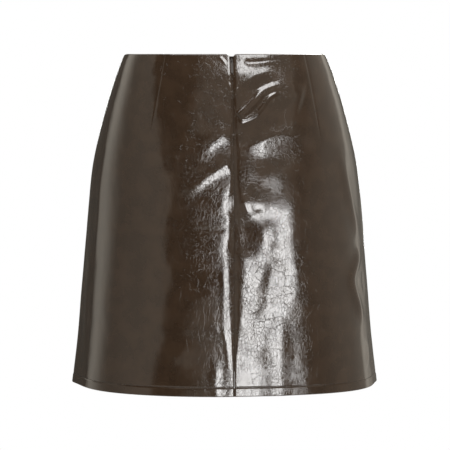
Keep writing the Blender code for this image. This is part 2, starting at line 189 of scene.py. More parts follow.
@dataclass(frozen=True)
class Fold:
    """A ridge (height above 0) or trough (below 0) along a line on the cloth, in millimetres.

    `widths` are its half-widths at the first and last points of its path, `taper` the shares of
    its length over which each end fades, and `lean` makes the flank on the right of a path that
    runs down, or above a path that runs to the right, steeper above 0 and softer below 0.
    """

    height: float
    widths: Point
    path: tuple[Point, ...]
    taper: Point = (0.4, 0.4)
    lean: float = 0.0
    profile: Profile = Profile.SOFT

    def smooth_path(self, steps: int = 8) -> Array:
        """Return the path as points on one smooth curve through its own points.

        Args:
            steps: how many points each span gets.

        Returns:
            One row of across and drop for each point.
        """
        own = np.array(self.path, float)
        if len(own) == 2:
            return own
        ends = np.vstack([2 * own[0] - own[1], own, 2 * own[-1] - own[-2]])
        share = np.linspace(0.0, 1.0, steps, endpoint=False)[:, None]
        spans = []
        for before, start, end, after in zip(ends, ends[1:], ends[2:], ends[3:]):
            bend = 2 * before - 5 * start + 4 * end - after
            twist = -before + 3 * start - 3 * end + after
            spans.append(start + 0.5 * share * (end - before + share * (bend + share * twist)))
        return np.vstack(spans + [own[-1:]])

    def lift(self, across: Array, drop: Array) -> Array:
        """Return how far the fold lifts the cloth at points given in millimetres.

        Args:
            across: distances round the ring.
            drop: distances below the waist edge.

        Returns:
            The heights, in millimetres.
        """
        path = self.smooth_path()
        reach = 3.0 * max(self.widths) * (1.0 + abs(self.lean))
        low, high = path.min(axis=0) - reach, path.max(axis=0) + reach
        near = (across > low[0]) & (across < high[0]) & (drop > low[1]) & (drop < high[1])
        lifted = np.zeros_like(across)
        if not near.any():
            return lifted
        spot = np.stack([across[near], drop[near]], axis=-1)
        lengths = np.hypot(*(path[1:] - path[:-1]).T)
        starts = np.concatenate([[0.0], np.cumsum(lengths)])
        best = np.full(len(spot), np.inf)
        along, right = np.zeros(len(spot)), np.zeros(len(spot))
        for start, end, length, before in zip(path, path[1:], lengths, starts):
            run = (end - start) / length
            offset = spot - start
            share = offset @ run
            held = np.clip(share, 0.0, length)
            away = np.hypot(offset[:, 0] - held * run[0], offset[:, 1] - held * run[1])
            closer = away < best
            best = np.where(closer, away, best)
            along = np.where(closer, (before + held) / starts[-1], along)
            right = np.where(closer, offset[:, 0] * run[1] - offset[:, 1] * run[0], right)
        width = self.widths[0] + (self.widths[1] - self.widths[0]) * along
        width = width * (1.0 - self.lean * np.tanh(2.0 * right / width))
        fade = smooth_step(along, 0.0, self.taper[0]) * smooth_step(1.0 - along, 0.0, self.taper[1])
        lifted[near] = self.height * fade * self.profile.shape(best / width)
        return lifted


# Right of the centre-back seam, waist to hem.
BACK_RIGHT_FOLDS = (
    Fold(-1, (3.8, 3.4), ((12, 11), (36, 10), (56, 8.5), (76, 7)), (0.15, 0.3)),
    Fold(1, (7.5, 7), ((1, 42), (14, 35), (32, 24), (54, 15), (76, 11)), (0.0, 0.4)),
    Fold(0.8, (2.6, 2.2), ((1, 50), (4, 45), (8, 40)), (0.0, 0.5)),
    Fold(
        1.8, (4.7, 5.2), ((6, 76.5), (10, 73), (15, 68.5), (22, 62), (28, 56), (34, 49.5), (41, 45.5)),
        (0.03, 0.45), 0.2, Profile.BROAD,
    ),
    Fold(
        0.8, (5.0, 5.4),
        ((22, 62), (28, 56), (34, 49.5), (41, 45.5), (47, 43), (55, 40.5), (63, 39), (74, 40), (94, 45)),
        (0.3, 0.25), 0.0, Profile.BROAD,
    ),
    Fold(
        1.35, (2.4, 2.5),
        ((5, 81.2), (12, 80.6), (20, 77.6), (30.4, 72), (37, 64.5), (41.8, 57.4), (48.6, 51.4), (58, 48.4),
         (73, 48.4)),
        (0.08, 0.4),
    ),
    Fold(2, (15, 15), ((80, 54), (90, 58)), (0.0, 0.3)),
    Fold(1.8, (10, 6.5), ((10, 121), (32, 107), (54, 99), (74, 101), (92, 109), (104, 120)), (0.35, 0.35)),
    Fold(-0.9, (13, 12), ((16, 137), (36, 131), (66, 127), (90, 132)), (0.3, 0.4)),
    Fold(1.9, (13, 14), ((-6, 176), (8, 180), (26, 185), (44, 182), (58, 176)), (0.2, 0.5), -0.2),
    Fold(-0.3, (4.5, 4.5), ((29, 190), (31, 197), (30, 204))),
    Fold(0.7, (3.4, 3), ((11, 174), (14, 188), (21, 204)), (0.3, 0.4)),
    Fold(-2.2, (13, 13), ((7, 196), (11, 222), (6, 252)), (0.35, 0.35)),
    Fold(1.2, (13, 12), ((37, 200), (39, 226), (33, 254)), (0.35, 0.35)),
    Fold(1.4, (22, 24), ((76, 156), (81, 220), (90, 310)), (0.25, 0.35)),
    Fold(2.2, (60, 60), ((-3, 225), (-3, 300), (-12, 350), (-16, 422)), (0.4, 0.0), 0.42),
    Fold(-1.5, (12, 12), ((57, 249), (51, 262), (47, 280), (44, 298)), (0.35, 0.5), -0.2),
    Fold(-1.15, (14, 16), ((48, 266), (44, 296), (40, 330), (36, 362)), (0.3, 0.4), -0.25),
    Fold(1.7, (17, 17), ((58, 312), (55, 356), (54, 430)), (0.3, 0.0), 0.2),
)
# Left of it.
BACK_LEFT_FOLDS = (
    Fold(0.5, (1.8, 1.6), ((-16, 3), (-11, 8), (-7, 14)), (0.3, 0.4)),
    Fold(2, (11, 10), ((-3, 92), (-20, 101), (-40, 117), (-56, 134)), (0.2, 0.4)),
    Fold(2, (7, 7), ((-2, 131), (-18, 140), (-36, 152), (-52, 165), (-68, 180)), (0.12, 0.35)),
    Fold(-0.6, (2.2, 3), ((-8, 216), (-30, 216), (-56, 214)), (0.2, 0.5)),
    Fold(0.32, (3.6, 3), ((-14, 250), (-13.5, 300), (-12.5, 340), (-8.5, 368), (-7, 404)), (0.25, 0.3)),
    Fold(0.6, (7, 7), ((-22, 370), (-24, 396), (-23, 422)), (0.6, 0.0)),
    Fold(0.7, (22, 24), ((-64, 200), (-66, 290), (-72, 400)), (0.4, 0.2)),
    Fold(-0.9, (18, 18), ((-122, 170), (-128, 290), (-134, 400)), (0.4, 0.2)),
)
# Sharp little cracks in the film, where it has been creased.
BACK_CRACKS = (
    Fold(-0.14, (1.3, 1.2), ((42, 210), (44, 224), (49, 229), (57, 232)), (0.2, 0.3)),
    Fold(-0.08, (1.2, 1.2), ((7, 380), (24, 379), (40, 380), (52, 378)), (0.2, 0.3)),
    Fold(-0.08, (1.2, 1.2), ((24, 372), (30, 364), (40, 366), (44, 376), (38, 386), (28, 385)), (0.2, 0.2)),
    Fold(-0.08, (1.2, 1.2), ((46, 325), (56, 326)), (0.3, 0.3)),
    Fold(-0.08, (1.2, 1.2), ((37, 352), (46, 353)), (0.3, 0.3)),
    Fold(-0.08, (1.2, 1.2), ((14, 300), (20, 310), (19, 324)), (0.3, 0.3)),
    Fold(-0.08, (1.2, 1.2), ((56, 280), (64, 284), (70, 280)), (0.3, 0.3)),
    Fold(-0.10, (1.3, 1.3), ((-40, 60), (-36, 78), (-38, 96)), (0.3, 0.3)),
    Fold(-0.10, (1.3, 1.3), ((36, 82), (48, 76), (62, 80)), (0.3, 0.3)),
)
# Close to the side seams.
SIDE_FOLDS = (
    Fold(2.2, (10, 10), ((148, 110), (160, 165), (180, 214), (198, 242)), (0.4, 0.3)),
    Fold(3.4, (9, 9), ((200, 238), (176, 262), (163, 284), (176, 314), (198, 346)), (0.25, 0.3)),
    Fold(-1.2, (9, 9), ((206, 268), (202, 286), (212, 306))),
    Fold(1.4, (8, 8), ((198, 352), (206, 376), (196, 400))),
    Fold(1.1, (9, 9), ((222, 150), (230, 210), (226, 262))),
    Fold(0.9, (10, 10), ((-186, 120), (-192, 190), (-196, 260))),
    Fold(0.9, (10, 10), ((-212, 210), (-220, 300), (-224, 390))),
    Fold(-0.8, (9, 9), ((-236, 170), (-240, 250), (-246, 330))),
)
# On the front, measured from the centre front.
FRONT_FOLDS = (
    Fold(1.3, (12, 13), ((-16, 62), (-40, 52), (-70, 40), (-98, 46)), (0.3, 0.4)),
    Fold(1.2, (12, 12), ((14, 48), (42, 40), (84, 52)), (0.3, 0.4)),
    Fold(1.4, (14, 13), ((-20, 98), (-60, 112), (-98, 108))),
    Fold(1.3, (13, 13), ((14, 124), (52, 110), (90, 116)), (0.3, 0.4)),
    Fold(1.5, (14, 14), ((4, 168), (-40, 158), (-76, 172))),
    Fold(-1.2, (13, 13), ((20, 150), (44, 160), (60, 148))),
    Fold(2.6, (22, 22), ((-50, 210), (-56, 320), (-64, 420)), (0.4, 0.0)),
    Fold(-2, (11, 9), ((-12, 260), (-16, 340), (-22, 420)), (0.4, 0.0)),
    Fold(2.4, (20, 20), ((44, 190), (50, 300), (46, 400)), (0.4, 0.2)),
    Fold(-1.6, (11, 10), ((92, 230), (100, 330), (104, 420)), (0.4, 0.0)),
    Fold(1.2, (12, 12), ((132, 180), (140, 280), (144, 380)), (0.4, 0.3)),
    Fold(1.2, (12, 12), ((-136, 200), (-142, 300), (-150, 390)), (0.4, 0.3)),
)


@dataclass(frozen=True)
class Crumpled:
    """A soft-edged patch of crinkled film: its middle, its radii across and down, in millimetres."""

    middle: Point
    radii: Point
    strength: float

    def strength_at(self, across: Array, drop: Array) -> Array:
        """Return the patch's strength at places given in millimetres.

        Args:
            across: distances round the ring.
            drop: distances below the waist edge.

        Returns:
            The strengths.
        """
        off_across = (across - self.middle[0]) / self.radii[0]
        off_drop = (drop - self.middle[1]) / self.radii[1]
        return self.strength * np.exp(-(off_across**2) - off_drop**2)


EVEN_CRINKLE = 0.06
BACK_CRUMPLED = (
    Crumpled((34, 300), (44, 130), 0.85),
    Crumpled((68, 350), (14, 90), 0.40),
    Crumpled((42, 16), (34, 30), 0.55),
    Crumpled((56, 114), (34, 28), 0.60),
    Crumpled((33, 322), (12, 24), 0.25),
    Crumpled((-22, 60), (26, 50), 0.55),
    Crumpled((-30, 140), (34, 60), 0.60),
    Crumpled((-56, 190), (30, 90), 0.22),
    Crumpled((-96, 60), (40, 60), 0.10),
    Crumpled((-8, 300), (10, 130), 0.36),
    Crumpled((-16, 400), (14, 26), 0.50),
)
FRONT_CRUMPLED = (
    Crumpled((-30, 120), (60, 90), 0.60),
    Crumpled((40, 200), (52, 160), 0.60),
    Crumpled((-50, 330), (44, 100), 0.55),
)


@dataclass(frozen=True)
class SeamRow:
    """The centre-back seam's hollow at one drop, in millimetres."""

    drop: float
    depth: float
    left_width: float
    right_width: float


SEAM_ROWS = (
    SeamRow(0, 0.4, 2.0, 3.0),
    SeamRow(30, 0.5, 2.0, 3.6),
    SeamRow(60, 0.7, 2.4, 4.0),
    SeamRow(110, 1.0, 3.2, 4.6),
    SeamRow(145, 1.3, 3.4, 5.4),
    SeamRow(160, 1.6, 3.6, 5.8),
    SeamRow(177, 1.9, 6.4, 6.2),
    SeamRow(192, 1.9, 6.6, 6.4),
    SeamRow(206, 1.6, 4.4, 6.5),
    SeamRow(224, 1.6, 4.2, 6.5),
    SeamRow(240, 2.0, 7.4, 6.4),
    SeamRow(256, 2.0, 7.2, 6.2),
    SeamRow(276, 1.9, 6.2, 6.0),
    SeamRow(320, 1.5, 4.8, 4.8),
    SeamRow(350, 1.0, 2.8, 2.4),
    SeamRow(378, 0.6, 1.6, 1.1),
    SeamRow(406, 0.4, 1.1, 0.7),
    SeamRow(422, 0.4, 1.1, 0.7),
)


@dataclass(frozen=True)
class SeamLines:
    """What the seams draw in beside their stitching, in metres."""

    cleft_drops: Point = (0.300, 0.380)
    cleft_widths: Point = (0.0022, 0.0009)
    cleft_slope: float = 0.27
    bite: float = 0.00022
    bite_width: float = 0.0009
    side_depth: float = 0.0007
    side_width: float = 0.0028


def smooth_step(value: Array, start: float, end: float) -> Array:
    """Return 0 up to `start`, 1 from `end` on, and a smooth rise between them.

    Args:
        value: the values.
        start: where the rise starts.
        end: where it ends.

    Returns:
        The shares, 0 to 1.
    """
    if end <= start:
        return np.ones_like(np.asarray(value, float))
    share = np.clip((value - start) / (end - start), 0.0, 1.0)
    return share * share * (3.0 - 2.0 * share)


def smooth_columns(rows: Array, at: Array) -> Array:
    """Read every column of a table at `at`, its first column, along a smooth cubic.

    Args:
        rows: the table, one row for each knot.
        at: where to read it.

    Returns:
        One row for each value of `at`, without the first column.
    """
    knots, last = rows[:, 0], len(rows) - 1
    i = np.clip(np.searchsorted(knots, at) - 1, 0, last - 1)
    here, after = rows[i], rows[i + 1]
    before, beyond = rows[np.maximum(i - 1, 0)], rows[np.minimum(i + 2, last)]
    span = (after - here)[:, :1]
    t = (at[:, None] - here[:, :1]) / span
    leave = (after - before) / (after - before)[:, :1]
    arrive = (beyond - here) / (beyond - here)[:, :1]
    value = (2 * t**3 - 3 * t**2 + 1) * here + (t**3 - 2 * t**2 + t) * span * leave
    value += (3 * t**2 - 2 * t**3) * after + (t**3 - t**2) * span * arrive
    return value[:, 1:]


class Unevenness:
    """Smooth seeded unevenness, the same each run, in millimetres."""

    def __init__(self, seed: int, height: float, cell: Point, size: int = 256) -> None:
        """Fill a lattice with seeded values.

        Args:
            seed: the random seed.
            height: the greatest height.
            cell: a lattice cell's size, across and down.
            size: the lattice's cells each way, after which it repeats.
        """
        self.height, self.cell, self.size = height, cell, size
        self.lattice = np.random.default_rng(seed).uniform(-1.0, 1.0, (size, size))

    def at(self, across: Array, drop: Array) -> Array:
        """Return the height at each place.

        Args:
            across: distances round the ring.
            drop: distances below the waist edge.

        Returns:
            The heights.
        """
        u, v = across / self.cell[0], drop / self.cell[1]
        i, j = np.floor(u).astype(int), np.floor(v).astype(int)
        s, t = u - i, v - j
        s, t = s**3 * (s * (6 * s - 15) + 10), t**3 * (t * (6 * t - 15) + 10)
        i0, j0 = i % self.size, j % self.size
        i1, j1 = (i0 + 1) % self.size, (j0 + 1) % self.size
        upper = self.lattice[i0, j0] * (1 - s) + self.lattice[i1, j0] * s
        lower = self.lattice[i0, j1] * (1 - s) + self.lattice[i1, j1] * s
        return self.height * (upper * (1 - t) + lower * t)


class SkirtForm:
    """The filled-out cloth: a smooth form from level sections, with the folds that lie on it."""

    CREASE_ANGLE = 0.15
    CREASE_POWER = 1.5
    LOOK = 0.0006
    LAST_STEP = 1.0001

    def __init__(self, cut: Cut) -> None:
        """Work out the rings at each step of the drop, and the directions out of them.

        Args:
            cut: the skirt's sizes.
        """
        self.cut = cut
        rows = np.array([
            (s.drop, s.half_width, s.back_depth, s.front_depth, s.squareness, s.side_crease)
            for s in SECTIONS
        ])
        self.drops = np.arange(0.0, cut.length + cut.drop_step / 2, cut.drop_step)
        half_width, back, front, squareness, crease = (
            column[:, None] for column in smooth_columns(rows, self.drops).T
        )
        turn = np.linspace(0.0, math.pi, cut.ring_samples + 1)[None, :]
        depth = np.where(np.cos(turn) > 0, back, front)
        sine = np.abs(np.sin(turn)) / (half_width - crease)
        cosine = np.abs(np.cos(turn)) / depth
        radius = (sine**squareness + cosine**squareness) ** (-1.0 / squareness)
        off_side = np.abs(turn - math.pi / 2) / self.CREASE_ANGLE
        radius += crease * np.exp(-(off_side**self.CREASE_POWER))
        x, y = radius * np.sin(turn), -radius * np.cos(turn)
        step = np.hypot(np.diff(x), np.diff(y))
        reach = np.hstack([np.zeros((len(self.drops), 1)), np.cumsum(step, axis=1)])
        self.side = reach[:, cut.ring_samples // 2]
        self.half_girth = reach[:, -1]
        self.across = np.arange(0.0, self.half_girth.max() + 0.01, cut.across_step)
        self.x, self.y = (np.empty((len(self.drops), len(self.across))) for _ in "xy")
        for k, girth in enumerate(self.half_girth):
            past = self.across > girth
            inside = np.where(past, 2 * girth - self.across, self.across)
            self.x[k] = np.interp(inside, reach[k], x[k]) * np.where(past, -1.0, 1.0)
            self.y[k] = np.interp(inside, reach[k], y[k])
        self.directions = self.smooth_directions()
        self.uneven = (Unevenness(11, 0.16, (22.0, 34.0)), Unevenness(23, 0.045, (7.0, 12.0)))

    def smooth_directions(self) -> tuple[Array, Array, Array]:
        """Return the outward direction of the smooth form at each table entry.

        Returns:
            The directions' x, y and z, each a table like the form's own.
        """
        x_across = np.gradient(self.x, self.cut.across_step, axis=1)
        y_across = np.gradient(self.y, self.cut.across_step, axis=1)
        x_across[:, 0], y_across[:, 0] = 1.0, 0.0
        x_down = np.gradient(self.x, self.cut.drop_step, axis=0)
        y_down = np.gradient(self.y, self.cut.drop_step, axis=0)
        out = np.stack([y_across, -x_across, y_across * x_down - x_across * y_down])
        return tuple(out / np.linalg.norm(out, axis=0))

    def read(self, table: Array, across: Array, drop: Array) -> Array:
        """Return a table's values between its entries.

        Args:
            table: one row for each drop and one column for each distance.
            across: distances from the centre back.
            drop: distances below the waist edge.

        Returns:
            The values.
        """
        row = np.clip(drop / self.cut.drop_step, 0.0, len(self.drops) - self.LAST_STEP)
        column = np.abs(across) / self.cut.across_step
        column = np.clip(column, 0.0, len(self.across) - self.LAST_STEP)
        i, j = row.astype(int), column.astype(int)
        u, v = row - i, column - j
        upper = (1 - v) * table[i, j] + v * table[i, j + 1]
        lower = (1 - v) * table[i + 1, j] + v * table[i + 1, j + 1]
        return (1 - u) * upper + u * lower

    def side_at(self, drop: Array) -> Array:
        """Return the side seams' distance from the centre back."""
        return np.interp(drop, self.drops, self.side)

    def girth_at(self, drop: Array) -> Array:
        """Return half the girth."""
        return np.interp(drop, self.drops, self.half_girth)

    def from_front(self, across: Array, drop: Array) -> Array:
        """Turn distances from the centre back into distances from the centre front, or back."""
        sign = np.where(across < 0, -1.0, 1.0)
        return sign * (self.girth_at(drop) - np.abs(across))

    def seam_lift(self, across: Array, drop: Array) -> Array:
        """Return the hollow of the centre-back seam and the grooves of the side seams.

        Args:
            across: distances from the centre back.
            drop: distances below the waist edge.

        Returns:
            The heights, below 0 in the seams.
        """
        rows = np.array([(s.drop, s.depth, s.left_width, s.right_width) for s in SEAM_ROWS]) * MM
        depth, left, right = (np.interp(drop, rows[:, 0], rows[:, k]) for k in range(1, 4))
        lifted = -depth * np.exp(-((across / np.where(across < 0, left, right)) ** 2))
        lines = SeamLines()
        cleft = np.interp(drop, lines.cleft_drops, lines.cleft_widths)
        lifted -= lines.cleft_slope * cleft * np.exp(-((across / cleft) ** 2))
        lifted -= lines.bite * np.exp(-np.abs(across) / lines.bite_width)
        off_side = (np.abs(across) - self.side_at(drop)) / lines.side_width
        return lifted - lines.side_depth * np.exp(-(off_side**2))

    def lift(self, across: Array, drop: Array) -> Array:
        """Return the height of the cloth above its smooth form.

        Args:
            across: distances from the centre back.
            drop: distances below the waist edge.

        Returns:
            The heights.
        """
        off_front = self.from_front(across, drop)
        total = self.seam_lift(across, drop)
        for side, dart in BACK_DARTS.items():
            off_line = side * across - dart.line(drop)
            total += np.where(side * across > 0, dart.lift(off_line, drop), 0.0)
        total += FRONT_DART.lift(np.abs(off_front) - FRONT_DART.line(drop), drop)
        back_mm, front_mm, drop_mm = across / MM, off_front / MM, drop / MM
        folds = np.zeros_like(total)
        for fold in BACK_RIGHT_FOLDS + BACK_LEFT_FOLDS + BACK_CRACKS + SIDE_FOLDS:
            folds += fold.lift(back_mm, drop_mm)
        for fold in FRONT_FOLDS:
            folds += fold.lift(front_mm, drop_mm)
        return total + MM * (folds + sum(each.at(back_mm, drop_mm) for each in self.uneven))

    def crinkle(self, place: Array, drop: Array, front: bool) -> Array:
        """Return how strongly the film is crinkled.

        Args:
            place: distances from the centre back, or from the centre front.
            drop: distances below the waist edge.
            front: whether the place is on the front.

        Returns:
            The strengths, about 0 to 1.
        """
        patches = FRONT_CRUMPLED if front else BACK_CRUMPLED
        return EVEN_CRINKLE + sum(patch.strength_at(place / MM, drop / MM) for patch in patches)

    def outer(self, across: Array, drop: Array) -> Array:
        """Return points of the cloth's outer face, one row of x, y, z for each.

        Args:
            across: distances from the centre back.
            drop: distances below the waist edge.

        Returns:
            The points.
        """
        side = np.where(across < 0, -1.0, 1.0)
        raised = self.lift(across, drop)
        out_x, out_y, out_z = (self.read(table, across, drop) for table in self.directions)
        x = side * (self.read(self.x, across, drop) + out_x * raised)
        y = self.read(self.y, across, drop) + out_y * raised
        return np.stack([x, y, out_z * raised - drop], axis=-1)

    def frame_at(self, across: Array, drop: Array) -> tuple[Array, Array, Array, Array]:
        """Return points of the outer face with the directions across, down and out there.

        Args:
            across: distances from the centre back.
            drop: distances below the waist edge.

        Returns:
            The points, and the directions across, down and out.
        """
        low, high = np.maximum(drop - self.LOOK, 0.0), np.minimum(drop + self.LOOK, self.cut.length)
        round_it = unit(self.outer(across + self.LOOK, drop) - self.outer(across - self.LOOK, drop))
        out = unit(np.cross(round_it, self.outer(across, low) - self.outer(across, high)))
        return self.outer(across, drop), round_it, np.cross(round_it, out), out


def unit(vectors: Array) -> Array:
    """Return vectors scaled to length 1."""
    return vectors / np.linalg.norm(vectors, axis=-1, keepdims=True)


# ---------------------------------------------------------------- meshes
def lanes(stops: list[Array], counts: tuple[int, ...]) -> Array:
    """Spread lanes between consecutive stops, each given for every row.

    Args:
        stops: the values that the lanes run between.
        counts: how many lanes lie between each pair of stops.

    Returns:
        The lanes' values, one row for each entry of a stop.
    """
    columns = [stops[0]]
    for start, end, count in zip(stops, stops[1:], counts):
        columns += [start + (end - start) * (i + 1) / count for i in range(count)]
    return np.stack(columns, axis=-1)


def placed(name: str, data: bpy.types.ID) -> Piece:
    """Return a new object of that data, linked to the scene.

    Args:
        name: the object's name.
        data: its mesh, light or camera.

    Returns:
        The object.
    """
    made = bpy.data.objects.new(name, data)
    bpy.context.scene.collection.objects.link(made)
    return made


def mesh_object(name: str, points: Array, faces: list, finishes: tuple) -> Piece:
    """Make a smooth-shaded object from points and faces, and link it to the scene.

    Args:
        name: the piece's name.
        points: one row of x, y, z for each vertex.
        faces: lists of vertex numbers.
        finishes: its materials, in the order of its slots.

    Returns:
        The object.
    """
    mesh = bpy.data.meshes.new(name)
    mesh.from_pydata(np.asarray(points).tolist(), [], faces)
    mesh.polygons.foreach_set("use_smooth", np.ones(len(mesh.polygons), bool))
    for finish in finishes:
        mesh.materials.append(finish)
    return placed(name, mesh)


@dataclass
class Shell:
    """A cloth wall between a grid of outer points and one of inner points.

    The outer side and the edges wear the first finish, and the inner side the last. `along` and
    `down` are each point's place on the flat cloth, and make the map `cloth`.
    """

    name: str
    outer: Array
    inner: Array
    along: Array
    down: Array

    def faces(self) -> tuple[Array, Array]:
        """Return the faces of the outer side with its edges, and those of the inner side.

        Returns:
            Two sets of quads, as rows of four vertex numbers.
        """
        # o numbers the outer grid's points, and n the inner grid's.
        o = np.arange(self.along.size).reshape(self.along.shape)
        n = o + o.size
        outer = (
            (o[:-1, :-1], o[1:, :-1], o[1:, 1:], o[:-1, 1:]),
            (o[:-1, 0], n[:-1, 0], n[1:, 0], o[1:, 0]),
            (o[:-1, -1], o[1:, -1], n[1:, -1], n[:-1, -1]),
            (o[0, :-1], o[0, 1:], n[0, 1:], n[0, :-1]),
            (o[-1, :-1], n[-1, :-1], n[-1, 1:], o[-1, 1:]),
        )
        inner = (n[:-1, :-1], n[:-1, 1:], n[1:, 1:], n[1:, :-1])
        shown = [np.stack([corner.ravel() for corner in quads], axis=-1) for quads in outer]
        return np.vstack(shown), np.stack([corner.ravel() for corner in inner], axis=-1)

    def build(self, *finishes: Material) -> Piece:
        """Make the wall's mesh.

        Args:
            finishes: the outer finish, and the inner one where it has its own.

        Returns:
            The wall.
        """
        shown, hidden = self.faces()
        points = np.vstack([self.outer.reshape(-1, 3), self.inner.reshape(-1, 3)])
        made = mesh_object(self.name, points, np.vstack([shown, hidden]).tolist(), finishes)
        mesh = made.data
        slots = np.repeat([0, len(finishes) - 1], [len(shown), len(hidden)])
        mesh.polygons.foreach_set("material_index", slots)
        corners = np.empty(len(mesh.loops), int)
        mesh.loops.foreach_get("vertex_index", corners)
        places = np.stack([self.along, -self.down], axis=-1).reshape(-1, 2)
        layer = mesh.uv_layers.new(name="cloth")
        layer.uv.foreach_set("vector", places[corners % len(places)].astype(np.float32).ravel())
        return made


def rolled(edge: Array, radius: Array) -> Array:
    """Return how far a rounded edge falls away, at each distance from the edge."""
    near = np.clip(1.0 - edge / radius, 0.0, 1.0)
    return radius * (1.0 - np.sqrt(1.0 - near**2))


@dataclass(frozen=True)
class HemSewing:
    """How the hem's stitches draw in the leather, in metres."""

    depth: float = 0.00042
    pucker: float = 0.3
    width: float = 0.0010
    proud: float = 0.00030
    proud_over: float = 0.0022
    sunk: float = 0.00010
    sunk_over: float = 0.003
    end_clear: float = 0.0012
    stand: float = 0.00012
    wander: float = 0.00012

    def lift(self, place: Array, below: Array, pitch: float) -> Array:
        """Return the height that the sewing adds to the leather.

        Args:
            place: distances along the hem.
            below: distances below the line of stitches.
            pitch: the length of one stitch with its gap.

        Returns:
            The heights.
        """
        puckered = 1.0 - self.pucker + self.pucker * np.cos(2 * math.pi * place / pitch)
        pulled = self.depth * puckered * np.exp(-((below / self.width) ** 2))
        proud = self.proud * smooth_step(below, 0.0, self.proud_over)
        return proud - self.sunk * smooth_step(-below, 0.0, self.sunk_over) - pulled


HEM_SEWING = HemSewing()


@dataclass
class Panel:
    """One cut panel of the skirt, as a thin wall with turned edges."""

    name: str
    form: SkirtForm
    front: bool = False
    side: int = 1
    map_offset: float = 0.0
    row_stops: tuple = (0.0, 0.4, 1.6, 10.0, 112.0, 396.0, 406.0, 413.5, 420.4, 421.6, 422.0)
    edge_lane: float = 0.0005
    side_lane: float = 0.003
    dart_lane: float = 0.0018
    seam_lanes: tuple = (0.0001, 0.0016, 0.014, 0.062)

    FRONT_ROWS = (2, 3, 8, 84, 133, 8, 13, 6, 3, 2)
    BACK_ROWS = (2, 3, 8, 84, 166, 8, 13, 6, 3, 2)
    FRONT_COLUMNS = (2, 3, 44, 6, 58, 6, 44, 3, 2)
    BACK_COLUMNS = (1, 4, 13, 38, 18, 7, 58, 3, 2)

    def drops(self) -> Array:
        """Return each row's drop, the rows closest at the turned edges and the hem's stitches."""
        counts = self.FRONT_ROWS if self.front else self.BACK_ROWS
        return lanes([np.array(stop * MM) for stop in self.row_stops], counts)

    def columns(self, drop: Array) -> Array:
        """Return each row's columns along the outer face, from the left as it is looked at.

        Args:
            drop: the rows' drops.

        Returns:
            One row of values for each drop, from the centre back, or the centre front.
        """
        form, cut = self.form, self.form.cut
        seam = form.side_at(drop)
        if self.front:
            edge = form.girth_at(drop) - seam - cut.seam_line / 2
            dart = FRONT_DART.line(drop)
            half = [edge, edge - self.edge_lane, edge - self.side_lane]
            half += [dart + self.dart_lane, dart - self.dart_lane]
            stops = [-stop for stop in half] + half[::-1]
            return lanes(stops, self.FRONT_COLUMNS)[:, ::-1]
        edge = cut.zip_edge(drop)
        dart = BACK_DARTS[self.side].line(drop)
        last = seam - cut.seam_line / 2
        stops = [edge] + [edge + lane for lane in self.seam_lanes]
        stops += [dart - self.dart_lane, dart + self.dart_lane]
        stops += [last - self.side_lane, last - self.edge_lane, last]
        across = lanes(stops, self.BACK_COLUMNS)
        return across if self.side > 0 else -across[:, ::-1]

    def build(self, leather: Material, backing: Material) -> Piece:
        """Make the panel's mesh.

        Args:
            leather: the outer finish.
            backing: the finish of the inner side.

        Returns:
            The panel.
        """
        form, cut = self.form, self.form.cut
        drop = self.drops()
        place = self.columns(drop)
        drop = np.repeat(drop[:, None], place.shape[1], axis=1)
        across = form.from_front(place, drop) if self.front else place
        level = drop - self.hem_rise(across, drop)
        if self.front:
            fade = np.clip(1.0 - drop / cut.front_dip_fade, 0.0, 1.0) ** 2
            level = level + cut.front_dip * fade * np.exp(-((place / cut.front_dip_half) ** 4))
        off_edge = np.abs(np.abs(across) - form.side_at(drop)) - cut.seam_line / 2
        if not self.front:
            off_seam = np.abs(across) - cut.zip_edge(drop)
            level = level + self.corner_drop(off_seam, drop)
            off_edge = np.minimum(off_edge, off_seam)
        outer = form.outer(across, level)
        outer = outer + self.facing(outer) * self.sewn_lift(place, drop)[..., None]
        out = self.facing(outer)
        out[[0, -1], :, 2] = 0.0
        out = unit(out)
        wall = cut.thickness(drop)
        off_end = np.minimum(drop, cut.length - drop)
        roll = np.maximum(rolled(off_end, cut.turned_roll * wall), rolled(off_edge, cut.sewn_roll))[..., None]
        inner = outer - out * (wall[..., None] - roll)
        shell = Shell(self.name, outer - out * roll, inner, place + self.map_offset, drop)
        made = shell.build(leather, backing)
        strength = form.crinkle(place, drop, self.front).ravel()
        layer = made.data.attributes.new("crinkle", "FLOAT", "POINT")
        layer.data.foreach_set("value", np.concatenate([strength, strength]).astype(np.float32))
        return made

    @staticmethod
    def facing(grid: Array) -> Array:
        """Return the outward direction at each point of a grid on the cloth."""
        return unit(np.cross(np.gradient(grid, axis=1), -np.gradient(grid, axis=0)))

    def sewn_lift(self, place: Array, drop: Array) -> Array:
        """Return the hem's doubled thickness and the line that its stitches pull in."""
        cut = self.form.cut
        return HEM_SEWING.lift(place, drop - (cut.length - cut.hem_stitch), cut.stitch_pitch)

    def hem_rise(self, across: Array, drop: Array) -> Array:
        """Return how far the hem's curve raises the cloth towards the side seams.

        Args:
            across: distances from the centre back.
            drop: distances below the waist edge.

        Returns:
            The rises.
        """
        cut = self.form.cut
        to_side = np.sin(math.pi / 2 * across / self.form.side_at(drop))
        rise = np.where(across < 0, cut.hem_rise_left, cut.hem_rise_right)
        return rise * (drop / cut.length) ** 2 * to_side**2

    def corner_drop(self, off_seam: Array, drop: Array) -> Array:
        """Return how far the waist edge dips at the rounded corner beside the zip.

        Args:
            off_seam: distances from the panel's edge at the zip.
            drop: distances below the waist edge.

        Returns:
            The dips.
        """
        cut = self.form.cut
        fade = np.clip(1.0 - drop / cut.waist_turning, 0.0, 1.0)
        return cut.corner_sink * rolled(off_seam, cut.corner_radius) * fade


